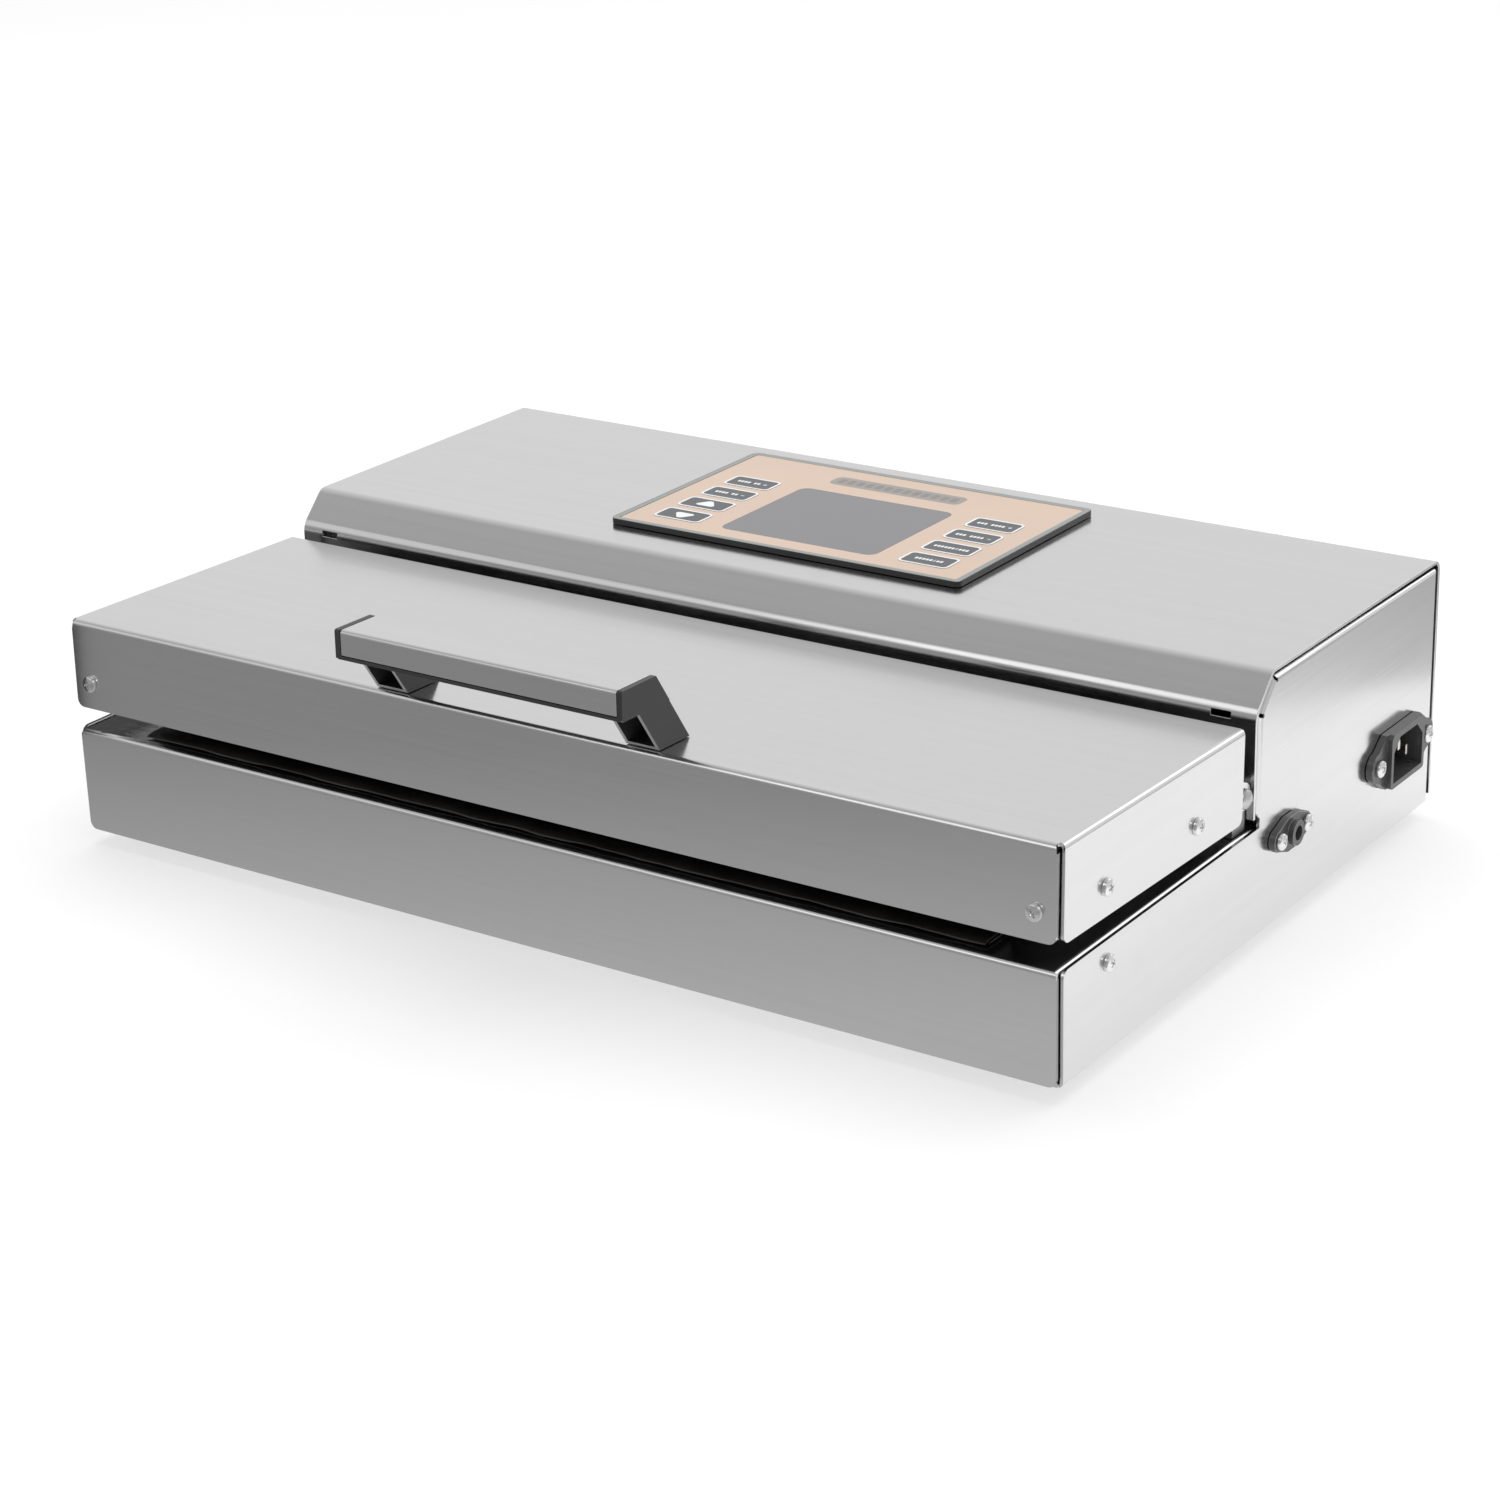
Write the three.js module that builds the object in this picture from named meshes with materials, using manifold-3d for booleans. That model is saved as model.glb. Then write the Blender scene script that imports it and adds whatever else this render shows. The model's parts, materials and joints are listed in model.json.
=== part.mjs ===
// External vacuum sealer with a hinged sealing lid and a rear housing, in bent stainless sheet.
// Millimetres, +X right, +Y back, +Z up. The exported group stands on z = 0.
// Inside the machine group, x = 0 is the middle of the case, y = 0 the front face and z = 0 the
// underside of the base pan.

import * as THREE from 'three';
import { mergeVertices } from 'three/addons/utils/BufferGeometryUtils.js';
import Module from 'manifold-3d';

const wasm = await Module();
wasm.setup();

// ---------------------------------------------------------------- driving dimensions

const SHEET = 1.2; // thickness of every stainless sheet
const GAP = 0.3; // clearance between pieces that touch
const HALF_W = 207.8; // half the width of the case
const DEPTH = 275.3; // front face to rear face
const BASE_H = 40; // top of the deck
const HOUSING_H = 93.85; // top of the rear cover
const FOOT_H = 6;
const FOOT_R = 9;

const HOUSING_FRONT = 130.1; // front face of the housing
const SLOPE_BOTTOM = 81.8; // height where the sloped edge starts
const SLOPE_BACK = 141.9; // where the sloped edge meets the top
const COVER_FRONT_BOTTOM = 43.9;
const COVER_REAR_BOTTOM = 3;
const COVER_HALF_W = 207.5;
const COVER_SEAT = SHEET + 1.5; // the pan's side walls stand this far inside the cover
const COVER_BENDS = [0, 8, 5, 4, 0]; // outer radius at each corner of the cover's section
const FLANGE = 10; // folded edge of the pan's side walls
const WALL_BEND = 2; // outer radius of that fold's corners
const NOTCH_BACK = 134; // slot over the deck that runs into the side walls
const NOTCH_TOP = 43.6;
const DECK_REAR = 137;
const DECK_BEND = 2; // outer radius of the deck's front and rear folds
const DECK_FRONT_HALF_W = 206.4;
const DECK_HALF_W = HALF_W - SHEET - 0.4;
const PAN_FRONT = 1.9; // front edge of the side walls, behind the front face

const WINDOW = { x: 194.3, width: 7.5, bottom: 78.7, top: 80.9 }; // small openings under the slope
const VENT = { x: 70, count: 7, pitch: 8, width: 3, bottom: 26, top: 50 };

const HINGE_Y = 125.3;
const HINGE_Z = 53.3;
const REST_TILT = THREE.MathUtils.degToRad(1.4); // the lid hovers this far open
const LID_BOTTOM = 46;
const LID_TOP = 79.4;
const LID_REAR = 121.2;
const LID_BEND = 2; // outer radius of the lid's folds
const LID_RELIEF = { inset: 1.1, radius: 1.35 }; // round hole through the fold at each front corner
const LID_CORNER = 3; // rounded lower corners of the lid's faces
const LID_SIDE_FRONT = 2.1; // front edge of the lid's side faces
const LID_FRONT_HALF_W = HALF_W - 1.5; // end of the lid's front face
const PLATE_BOTTOM = 47.6; // underside of the lid's inner plate
const PLATE_TOP = 76.5; // top of the inner plate's upturned edges
const PLATE_HALF_W = HALF_W - SHEET - 0.4;
const PLATE_REAR = 119.8;

const PIN_R = 2;
const PIN_HEAD_R = 3.6;
const PIN_HEAD_H = 2.1;
const EAR_X = 205; // inner face of the lid's hinge ears
const EAR_R = 4.2;
const PIN_SEAT = EAR_X + SHEET + GAP; // underside of the pin's head
const BRACKET_X = 202.3; // inner face of the base's hinge brackets
const BRACKET_T = 2.2;

const BAR_HALF_LENGTH = 177.8; // seal bar
const BAR_FRONT = 8.3;
const BAR_BACK = 25.7;
const BAR_TOP = BASE_H + 0.5;
const ELEMENT = { front: 14, back: 19, thickness: 0.25 };
const TAPE = { top: BASE_H + 1.65, thickness: 0.3 };
const TRAY_Y = 70; // middle of the vacuum tray
const RIM = { halfX: 192, halfY: 42, corner: 12, bottom: BASE_H + GAP, top: BASE_H + GAP + 0.8 };
const TUB = { halfX: 178, halfY: 30, corner: 8, bottom: 16.8 };
const SPIGOT_X = -120;
const SPIGOT_Z = 24;
const GASKET = { halfX: 188, halfY: 38, width: 9 };
const LOWER_GASKET_TOP = 44;

const FEATURE_X = -2.8; // middle of the handle and of the control panel
const HANDLE = { halfLength: 60, capT: 2.1, front: -18.2, bottom: 95.5, top: 106, backTop: 0.4 };
const HANDLE_SLOPE = 0.69; // run over rise of the legs
const LEG_W = 13.9;
const LEG_WALL = 1.3;
const LEG_STEP = 0.3; // the grip's end caps stand this far proud of the legs

const PANEL_Y = 210;
const PANEL = { width: 154, depth: 98, bottom: HOUSING_H + GAP, plateTop: 95.45, rimTop: 96.2 };
const OVERLAY = { width: 148.4, depth: 93, top: 96.15 };
const DISPLAY = { width: 68, depth: 57.5, y: 200.4 };
const KEY = { width: 20.8, depth: 11.4, corner: 2.4, bottom: 94.75, top: 96.25, play: 0.3 };
const KEY_COLUMN = 54.6; // from the panel's middle to each column
const KEY_FRONT_Y = 177.5;
const KEY_PITCH = 15.45;

const INLET_Y = 242.5;
const INLET_Z = 31.3;
const INLET = { earReach: 20, earR: 5.8, flangeT: 2.5, width: 27.6, height: 20.6, face: 4.8, depth: 15 };
const SOCKET = { width: 24, height: 16.6, chamfer: 4.8 };
const PIN_W = 2;
const PIN_H = 4;
const PINS = [
  { name: 'earth', y: 0, z: 2 },
  { name: 'line', y: -7, z: -2 },
  { name: 'neutral', y: 7, z: -2 },
];
const PORT_Y = 154.2;
const PORT_Z = 31.9;
const PORT = {
  earReach: 9.8, earR: 4, flangeT: 2.5, width: 7.2, height: 12.4, nozzleR: 4.5, bore: 2.7, reach: 5,
};

const SCREW = {
  headR: 3, headH: 1.9, shankR: 1.5, length: 6, holeR: 1.9, socketHeadR: 3.2, socketLength: 7,
};
const LID_SCREW_X = 198.8;
const LID_SCREW_Z = 55.9;
const LID_SIDE_SCREWS = { front: 28, rear: 88.2, z: 56.3 };
const BASE_SCREW = { y: 29.8, z: 32.2 };

const PUMP = { x: -25, y: 205, z: 45, motorR: 28, motorLength: 70, shaftR: 3, shaftIn: 12 };
const MOTOR_FOOT = { inset: 8, halfWidth: 20, top: -10 }; // saddle under the motor
const FAN = {
  blades: 7, radius: 24, hubR: 8, depth: 14, behind: 2, bladeWidth: 11, bladeT: 1.6, pitch: 35,
};
const CRANKCASE = { width: 44, depth: 50, height: 56 };
const HEAD = { width: 40, depth: 18, height: 44, capT: 6, capInset: 4 };
const TRANSFORMER = { x: 130, y: 220, z: 30.5, foot: 80, footT: 2 };
const CORE = { width: 66, depth: 30, height: 55 };
const CORE_WINDOW = { x: 16.5, width: 11, height: 33 }; // the two openings the coil fills
const COIL = { width: 43.2, depth: 52, height: 32.4, boreWidth: 22.6, boreDepth: 30.6, corner: 6 };
const POWER_BOARD = { x: -165, y: 205, width: 60, length: 110, bottom: 8, thickness: 1.6 };
// Parts on the power board, placed from its middle. Each top is a height in the machine.
const RELAY = { x: -14, y: -34, width: 20, length: 28, top: 25 };
const HEAT_SINK = { x: 16, y: -15, width: 20, length: 50, base: 13, top: 30, fins: 4, finT: 2 };
const CAPACITOR = { x: -12, y: 24, radius: 9, top: 34 };
const TERMINAL = { x: 14, y: 36, width: 20, length: 12, top: 21 };
const STANDOFF = { x: 24, y: 48, width: 6 };
const CONTROL_BOARD = { width: 128, depth: 84, bottom: 80, thickness: 1.6 };
// Parts on the control board, placed from its middle.
const DISPLAY_MODULE = { x: 0, y: 0, width: 66, length: 55, top: 94.65 };
const CHIP = { x: 47, y: -2, width: 14, length: 16, top: 84 };
const CONNECTOR = { x: -56, y: -3, width: 8, length: 34, top: 88 };
const VALVE = { x: 140, y: PORT_Y, z: PORT_Z, length: 24, width: 20, coilR: 10.5, coilTop: 33 };
const VALVE_FOOT = { length: 18, width: 20 };
const HOSE = { outerR: 4.4, innerR: 3.3, crossY: 143 }; // crosses behind the deck at crossY
const SPIGOT = { outerR: 2.7, boreR: 1.7 }; // hose tail on the tray, the port and the valve
const FEET = { x: 172, front: 34, rear: 241 };

const ARC_STEPS = 5; // segments in a rounded corner
const ROUND = 20; // segments round a small cylinder

// ---------------------------------------------------------------- materials

function material(color, roughness, metalness) {
  return new THREE.MeshStandardMaterial({ color, roughness, metalness });
}

const steel = () => material(0xc9cacb, 0.32, 1);
const darkSteel = () => material(0x6f7173, 0.45, 0.9);
const screwSteel = () => material(0xd6d6d4, 0.25, 1);
const blackPlastic = () => material(0x1c1c1d, 0.45, 0);
const rubber = () => material(0x141414, 0.8, 0);
const foam = () => material(0x1a1a1b, 0.95, 0);
const copperFilm = () => material(0xd9b59b, 0.5, 0.2);
const keyFilm = () => material(0x5c5e61, 0.5, 0);
const displayGlass = () => material(0x3b3c3f, 0.15, 0);
const tapeCloth = () => material(0x1f1a17, 0.6, 0);
const nickel = () => material(0xb9b2a5, 0.3, 1);
const castAluminium = () => material(0x9b9da0, 0.5, 0.9);
const copperWire = () => material(0x9c5a33, 0.45, 0.7);
const boardGreen = () => material(0x24613a, 0.6, 0);
const clearHose = () => material(0xcfd2cf, 0.4, 0);

// ---------------------------------------------------------------- outlines

const point = (x, y) => new THREE.Vector2(x, y);

// Corners of an outline or path turned into arcs. An open path keeps its two ends.
function rounded(points, radii, closed = true) {
  const result = [];
  const count = points.length;
  points.forEach((corner, i) => {
    const radius = Array.isArray(radii) ? radii[i] : radii;
    const isEnd = !closed && (i === 0 || i === count - 1);
    if (!radius || isEnd) {
      result.push(corner.clone());
      return;
    }
    const before = points[(i + count - 1) % count].clone().sub(corner).normalize();
    const after = points[(i + 1) % count].clone().sub(corner).normalize();
    const half = Math.acos(THREE.MathUtils.clamp(before.dot(after), -1, 1)) / 2;
    const bisector = before.clone().add(after).normalize();
    const centre = corner.clone().addScaledVector(bisector, radius / Math.sin(half));
    const start = corner.clone().addScaledVector(before, radius / Math.tan(half)).sub(centre);
    const finish = corner.clone().addScaledVector(after, radius / Math.tan(half)).sub(centre);
    const from = Math.atan2(start.y, start.x);
    let sweep = Math.atan2(finish.y, finish.x) - from;
    if (sweep > Math.PI) sweep -= 2 * Math.PI;
    if (sweep < -Math.PI) sweep += 2 * Math.PI;
    for (let step = 0; step <= ARC_STEPS; step += 1) {
      const angle = from + (sweep * step) / ARC_STEPS;
      result.push(point(centre.x + radius * Math.cos(angle), centre.y + radius * Math.sin(angle)));
    }
  });
  return result;
}

const screwHole = (x, y) => circle(SCREW.holeR, x, y, 12);

function rectangle(width, height, x = 0, y = 0) {
  const [w, h] = [width / 2, height / 2];
  return [point(x - w, y - h), point(x + w, y - h), point(x + w, y + h), point(x - w, y + h)];
}

function circle(radius, x = 0, y = 0, steps = ROUND) {
  const result = [];
  for (let step = 0; step < steps; step += 1) {
    const angle = (2 * Math.PI * step) / steps;
    result.push(point(x + radius * Math.cos(angle), y + radius * Math.sin(angle)));
  }
  return result;
}

// A path moved sideways by a distance, to the right of its direction, with mitred corners.
function offsetPath(points, distance) {
  const normals = [];
  for (let i = 0; i + 1 < points.length; i += 1) {
    const along = points[i + 1].clone().sub(points[i]).normalize();
    normals.push(point(along.y, -along.x));
  }
  return points.map((corner, i) => {
    const before = normals[Math.max(i - 1, 0)];
    const after = normals[Math.min(i, normals.length - 1)];
    const mitre = before.clone().add(after);
    return corner.clone().addScaledVector(mitre, (2 * distance) / mitre.lengthSq());
  });
}

// Section of a sheet bent along a path that runs clockwise round the sheet's inner side.
function bentSection(path, radii) {
  const outer = rounded(path, radii, false);
  const inner = rounded(offsetPath(path, SHEET), radii.map((radius) => radius - SHEET), false);
  return outer.concat(inner.reverse());
}

// ---------------------------------------------------------------- solids

const AXES = {
  x: new THREE.Matrix4().makeBasis(
    new THREE.Vector3(0, 1, 0), new THREE.Vector3(0, 0, 1), new THREE.Vector3(1, 0, 0)),
  y: new THREE.Matrix4().makeBasis(
    new THREE.Vector3(1, 0, 0), new THREE.Vector3(0, 0, 1), new THREE.Vector3(0, -1, 0)),
  z: new THREE.Matrix4(),
};

function toSolid(geometry) {
  const bare = geometry.clone();
  bare.deleteAttribute('normal');
  bare.deleteAttribute('uv');
  const merged = mergeVertices(bare, 1e-4);
  const mesh = new wasm.Mesh({
    numProp: 3,
    vertProperties: new Float32Array(merged.attributes.position.array),
    triVerts: new Uint32Array(merged.index.array),
  });
  return new wasm.Manifold(mesh);
}

function toGeometry(solid) {
  const mesh = solid.getMesh();
  const geometry = new THREE.BufferGeometry();
  geometry.setAttribute('position', new THREE.BufferAttribute(new Float32Array(mesh.vertProperties), 3));
  geometry.setIndex(new THREE.BufferAttribute(new Uint32Array(mesh.triVerts), 1));
  geometry.computeVertexNormals();
  return geometry;
}

// An outline pushed along an axis. Its two coordinates are Y and Z for axis x, X and Z for axis y,
// and X and Y for axis z.
function prism(axis, outline, low, high, holes = []) {
  const shape = new THREE.Shape(outline);
  shape.holes = holes.map((hole) => new THREE.Path(hole));
  const geometry = new THREE.ExtrudeGeometry(shape, { depth: high - low, bevelEnabled: false });
  geometry.applyMatrix4(AXES[axis]);
  const start = { x: [low, 0, 0], y: [0, high, 0], z: [0, 0, low] }[axis];
  geometry.translate(...start);
  return toSolid(geometry);
}

function block(x0, x1, y0, y1, z0, z1) {
  const geometry = new THREE.BoxGeometry(x1 - x0, y1 - y0, z1 - z0);
  geometry.translate((x0 + x1) / 2, (y0 + y1) / 2, (z0 + z1) / 2);
  return toSolid(geometry);
}

// A turned piece round the Z axis from (radius, height) points that start and end on the axis.
function turned(profile, steps = ROUND) {
  const geometry = new THREE.LatheGeometry(profile.map(([r, h]) => point(r, h)), steps);
  geometry.rotateX(Math.PI / 2);
  return toSolid(geometry);
}

// A range along an axis from near to far, mirrored for the negative side.
const span = (side, near, far) => (side > 0 ? [near, far] : [-far, -near]);

const join = (...solids) => solids.reduce((sum, solid) => sum.add(solid));
const cut = (body, ...tools) => tools.reduce((rest, tool) => rest.subtract(tool), body);

// A component standing on a board, from a little below the board's upper face.
function component({ x, y, width, length, top }, boardTop) {
  return prism('z', rectangle(width, length, x, y), boardTop - 0.5, top);
}

// ---------------------------------------------------------------- scene graph

const machine = new THREE.Group();
const lid = new THREE.Group();

function place(parent, name, shape, finish, x = 0, y = 0, z = 0) {
  const geometry = shape.isBufferGeometry ? shape : toGeometry(shape);
  const mesh = new THREE.Mesh(geometry, finish);
  mesh.name = name;
  mesh.position.set(x, y, z);
  parent.add(mesh);
  return mesh;
}

// ---------------------------------------------------------------- base pan

// Upper edge of a side wall under the cover: up the front, over the slope and along the top.
function coverLine() {
  const front = HOUSING_FRONT + COVER_SEAT;
  const top = HOUSING_H - COVER_SEAT;
  const shift = COVER_SEAT * Math.tan(Math.PI / 8);
  return [
    point(front, SLOPE_BOTTOM - shift),
    point(SLOPE_BACK + shift, top),
    point(DEPTH - COVER_SEAT, top),
  ];
}

// Side wall outline, seen from the side: low in front, full height under the cover.
function sideWallOutline() {
  const line = coverLine();
  const corners = [
    point(PAN_FRONT, 0),
    point(line[2].x, 0),
    line[2],
    line[1],
    line[0],
    point(line[0].x, NOTCH_TOP),
    point(NOTCH_BACK, NOTCH_TOP),
    point(NOTCH_BACK, BASE_H),
    point(PAN_FRONT, BASE_H),
  ];
  return rounded(corners, [0, 0, WALL_BEND, WALL_BEND, WALL_BEND, 1.6, 0, 0, 3]);
}

// Folded edge that follows the upper edge of a side wall, inside the cover.
function sideWallFlange() {
  const line = coverLine();
  const path = [point(line[0].x, NOTCH_TOP + 2), ...line, point(line[2].x, 8)];
  return bentSection(path, path.map(() => WALL_BEND));
}

// Everything inside the pan's folds: a block with the side walls' outline and rounded side edges.
// It is oversize in front, where the walls end in a plain cut.
function panEnvelope() {
  const line = coverLine();
  const outline = [
    point(-20, 0),
    point(line[2].x, 0),
    line[2],
    line[1],
    line[0],
    point(line[0].x, NOTCH_TOP + 2),
    point(-20, NOTCH_TOP + 2),
  ];
  const geometry = new THREE.ExtrudeGeometry(new THREE.Shape(outline), {
    depth: 2 * (HALF_W - WALL_BEND),
    bevelThickness: WALL_BEND,
    bevelSize: WALL_BEND,
    bevelOffset: -WALL_BEND,
    bevelSegments: 3,
  });
  geometry.applyMatrix4(AXES.x);
  geometry.translate(-(HALF_W - WALL_BEND), 0, 0);
  return toSolid(geometry);
}

// Small slots through the fold at both ends of the slope, where the sheet could not turn.
function slopeReliefs() {
  const [low, high] = coverLine();
  const inward = [[low, -Math.PI / 8], [high, -Math.PI / 4]];
  return inward.flatMap(([corner, angle]) => [1.2, 2.3].map((reach) => prism('x', circle(
    0.8, corner.x + reach * Math.cos(angle), corner.y + reach * Math.sin(angle), 10,
  ), -HALF_W - 1, HALF_W + 1)));
}

// Holes through the right side wall for the mains inlet and the accessory port.
function rightWallHoles() {
  const through = [HALF_W - 5, HALF_W + 2];
  const holes = [
    prism('x', rectangle(INLET.width, INLET.height, INLET_Y, INLET_Z), ...through),
    prism('x', circle(PORT.nozzleR + GAP, PORT_Y, PORT_Z), ...through),
  ];
  for (const side of [-1, 1]) {
    holes.push(prism('x', screwHole(INLET_Y + side * INLET.earReach, INLET_Z), ...through));
    holes.push(prism('x', screwHole(PORT_Y + side * PORT.earReach, PORT_Z), ...through));
  }
  return holes;
}

function basePan() {
  const inner = HALF_W - SHEET;
  const overlap = 0.1; // the floor and flanges run this far into the side walls
  const parts = [block(-inner - overlap, inner + overlap, PAN_FRONT, DEPTH - COVER_SEAT, 0, SHEET)];
  for (const side of [-1, 1]) {
    parts.push(prism('x', sideWallOutline(), ...span(side, inner, HALF_W)));
    parts.push(prism('x', sideWallFlange(), ...span(side, HALF_W - FLANGE, inner + overlap)));
  }
  const body = join(...parts).intersect(panEnvelope());
  const deckScrewHoles = prism('x', screwHole(BASE_SCREW.y, BASE_SCREW.z), -HALF_W - 1, HALF_W + 1);
  return cut(body, deckScrewHoles, ...slopeReliefs(), ...rightWallHoles());
}

place(machine, 'base_pan', basePan(), steel());

// ---------------------------------------------------------------- front deck

const DECK_LIP = 30; // height of the rear lip's lower edge
const DECK_TOP = { corner: 2, trimHeight: 60, front: 1, rear: 140 }; // outline the top is trimmed to
const DECK_FACE_CORNERS = [3, 3, 2.5, 2.5];
const DECK_FLANGE = { front: 3, rear: 126, bottom: 18, below: 1 };

function frontDeck() {
  const path = [
    point(0, GAP), point(0, BASE_H), point(DECK_REAR, BASE_H), point(DECK_REAR, DECK_LIP),
  ];
  const section = bentSection(path, path.map(() => DECK_BEND));
  const { corner, trimHeight } = DECK_TOP;
  const topEdges = rounded(
    rectangle(2 * DECK_HALF_W, trimHeight, 0, BASE_H - trimHeight / 2), [0, 0, corner, corner]);
  const top = prism('x', section, -DECK_HALF_W, DECK_HALF_W)
    .intersect(prism('y', topEdges, DECK_TOP.front, DECK_TOP.rear));
  const faceEdges = rounded(
    rectangle(2 * DECK_FRONT_HALF_W, BASE_H - GAP, 0, (BASE_H + GAP) / 2), DECK_FACE_CORNERS);
  const face = prism('x', section, -DECK_FRONT_HALF_W, DECK_FRONT_HALF_W)
    .intersect(prism('y', faceEdges, -1, SHEET + 0.1));
  const flanges = [-1, 1].map((side) => {
    const across = span(side, DECK_HALF_W - SHEET, DECK_HALF_W);
    const { front, rear, bottom, below } = DECK_FLANGE;
    const strip = block(...across, front, rear, bottom, BASE_H - below);
    return cut(strip, prism('x', screwHole(BASE_SCREW.y, BASE_SCREW.z), across[0] - 1, across[1] + 1));
  });
  const barSlot = block(
    -BAR_HALF_LENGTH - 0.4, BAR_HALF_LENGTH + 0.4, BAR_FRONT - 0.4, BAR_BACK + 0.4, 30, 50);
  const tubHole = prism('z', rounded(rectangle(
    2 * TUB.halfX + 0.8, 2 * TUB.halfY + 0.8, 0, TRAY_Y), TUB.corner + 0.4), 30, 50);
  return cut(join(top, face, ...flanges), barSlot, tubHole);
}

place(machine, 'front_deck', frontDeck(), steel());

// ---------------------------------------------------------------- rear cover

function rearCover() {
  const path = [
    point(HOUSING_FRONT, COVER_FRONT_BOTTOM),
    point(HOUSING_FRONT, SLOPE_BOTTOM),
    point(SLOPE_BACK, HOUSING_H),
    point(DEPTH, HOUSING_H),
    point(DEPTH, COVER_REAR_BOTTOM),
  ];
  const sheet = prism('x', bentSection(path, COVER_BENDS), -COVER_HALF_W, COVER_HALF_W);
  const windows = [-1, 1].map((side) => block(
    ...span(side, WINDOW.x - WINDOW.width / 2, WINDOW.x + WINDOW.width / 2),
    HOUSING_FRONT - 5, HOUSING_FRONT + 5, WINDOW.bottom, WINDOW.top));
  const displayHole = prism('z', rectangle(
    DISPLAY.width + 4, DISPLAY.depth + 3.5, FEATURE_X, DISPLAY.y), HOUSING_H - 5, HOUSING_H + 5);
  const vents = [];
  for (const side of [-1, 1]) {
    for (let slot = 0; slot < VENT.count; slot += 1) {
      const x = side * VENT.x + (slot - (VENT.count - 1) / 2) * VENT.pitch;
      const across = [x - VENT.width / 2, x + VENT.width / 2];
      vents.push(block(...across, DEPTH - 5, DEPTH + 5, VENT.bottom, VENT.top));
    }
  }
  return cut(sheet, displayHole, ...windows, ...vents);
}

place(machine, 'rear_cover', rearCover(), steel());

// ---------------------------------------------------------------- rubber feet

function foot() {
  const rim = FOOT_R - 0.8;
  return turned([[0, -FOOT_H], [rim - 0.8, -FOOT_H], [rim, -FOOT_H + 0.8], [FOOT_R, -GAP], [0, -GAP]]);
}

for (const [side, x] of [['left', -FEET.x], ['right', FEET.x]]) {
  for (const [end, y] of [['front', FEET.front], ['rear', FEET.rear]]) {
    place(machine, `foot_${end}_${side}`, foot(), rubber(), x, y, 0);
  }
}

// ---------------------------------------------------------------- vacuum tray and lower gasket

function vacuumTray() {
  const rimOutline = rounded(rectangle(2 * RIM.halfX, 2 * RIM.halfY), RIM.corner);
  const rim = prism('z', rimOutline, RIM.bottom, RIM.top);
  const tub = prism('z', rounded(rectangle(2 * TUB.halfX, 2 * TUB.halfY), TUB.corner), TUB.bottom, RIM.top);
  const hollow = prism('z', rounded(rectangle(
    2 * (TUB.halfX - SHEET), 2 * (TUB.halfY - SHEET)), TUB.corner - SHEET), TUB.bottom + SHEET, RIM.top + 5);
  const spigot = prism('y', circle(SPIGOT.outerR, SPIGOT_X, SPIGOT_Z, 12), TUB.halfY - 0.5, TUB.halfY + 12);
  const bore = prism('y', circle(SPIGOT.boreR, SPIGOT_X, SPIGOT_Z, 12), TUB.halfY - 5, TUB.halfY + 13);
  return cut(join(rim, tub, spigot), hollow, bore);
}

function gasketRing(low, high) {
  const outer = rounded(rectangle(2 * GASKET.halfX, 2 * GASKET.halfY), 10);
  const inner = rounded(rectangle(
    2 * (GASKET.halfX - GASKET.width), 2 * (GASKET.halfY - GASKET.width)), 4);
  return prism('z', outer, low, high, [inner]);
}

place(machine, 'vacuum_tray', vacuumTray(), steel(), 0, TRAY_Y, 0);
place(machine, 'lower_gasket', gasketRing(RIM.top + GAP, LOWER_GASKET_TOP), foam(), 0, TRAY_Y, 0);

// ---------------------------------------------------------------- seal bar

// Thin cloth over the bar, turned down in front of it and behind it.
function sealingTape() {
  const [front, back, top] = [BAR_FRONT - 3.4, BAR_BACK + 0.3, TAPE.top];
  const path = [
    point(front, BASE_H + GAP), point(front, top), point(back, top), point(back, BASE_H + GAP),
  ];
  const outline = path.concat(offsetPath(path, TAPE.thickness).reverse());
  return prism('x', outline, -BAR_HALF_LENGTH, BAR_HALF_LENGTH);
}

// A straight strip as long as the seal bar, less a margin at each end.
function sealStrip(margin, y0, y1, z0, z1) {
  return block(-BAR_HALF_LENGTH + margin, BAR_HALF_LENGTH - margin, y0, y1, z0, z1);
}

place(machine, 'seal_bar', sealStrip(0, BAR_FRONT, BAR_BACK - 0.4, 31, BAR_TOP), blackPlastic());
place(machine, 'heating_element', sealStrip(
  4, ELEMENT.front, ELEMENT.back, BAR_TOP + GAP, BAR_TOP + GAP + ELEMENT.thickness), nickel());
place(machine, 'sealing_tape', sealingTape(), tapeCloth());

// ---------------------------------------------------------------- hinge brackets on the deck

// Measured from the hinge axis. The ear narrows to a rounded top above the pin.
const BRACKET = { front: -5, rear: 4, footReach: 14, footT: 2, topHalf: 4.2, above: 4, corner: 3.6 };

function hingeBracket(side) {
  const { front, rear, footReach, footT, topHalf, above, corner } = BRACKET;
  const seat = BASE_H + GAP;
  const across = side > 0 ? [-footReach, BRACKET_T / 2] : [-BRACKET_T / 2, footReach];
  const foot = block(...across, front, rear, seat, seat + footT);
  const ear = rounded([
    point(front, seat), point(rear, seat),
    point(topHalf, HINGE_Z + above), point(-topHalf, HINGE_Z + above),
  ], [0, 0, corner, corner]);
  const wall = prism('x', ear, -BRACKET_T / 2, BRACKET_T / 2);
  const bore = prism('x', circle(PIN_R + GAP, 0, HINGE_Z), -5, 5);
  return cut(join(foot, wall), bore);
}

for (const [name, side] of [['left', -1], ['right', 1]]) {
  const x = side * (BRACKET_X + BRACKET_T / 2);
  place(machine, `hinge_bracket_${name}`, hingeBracket(side), darkSteel(), x, HINGE_Y, 0);
}

// ---------------------------------------------------------------- screws and hinge pins

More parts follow.
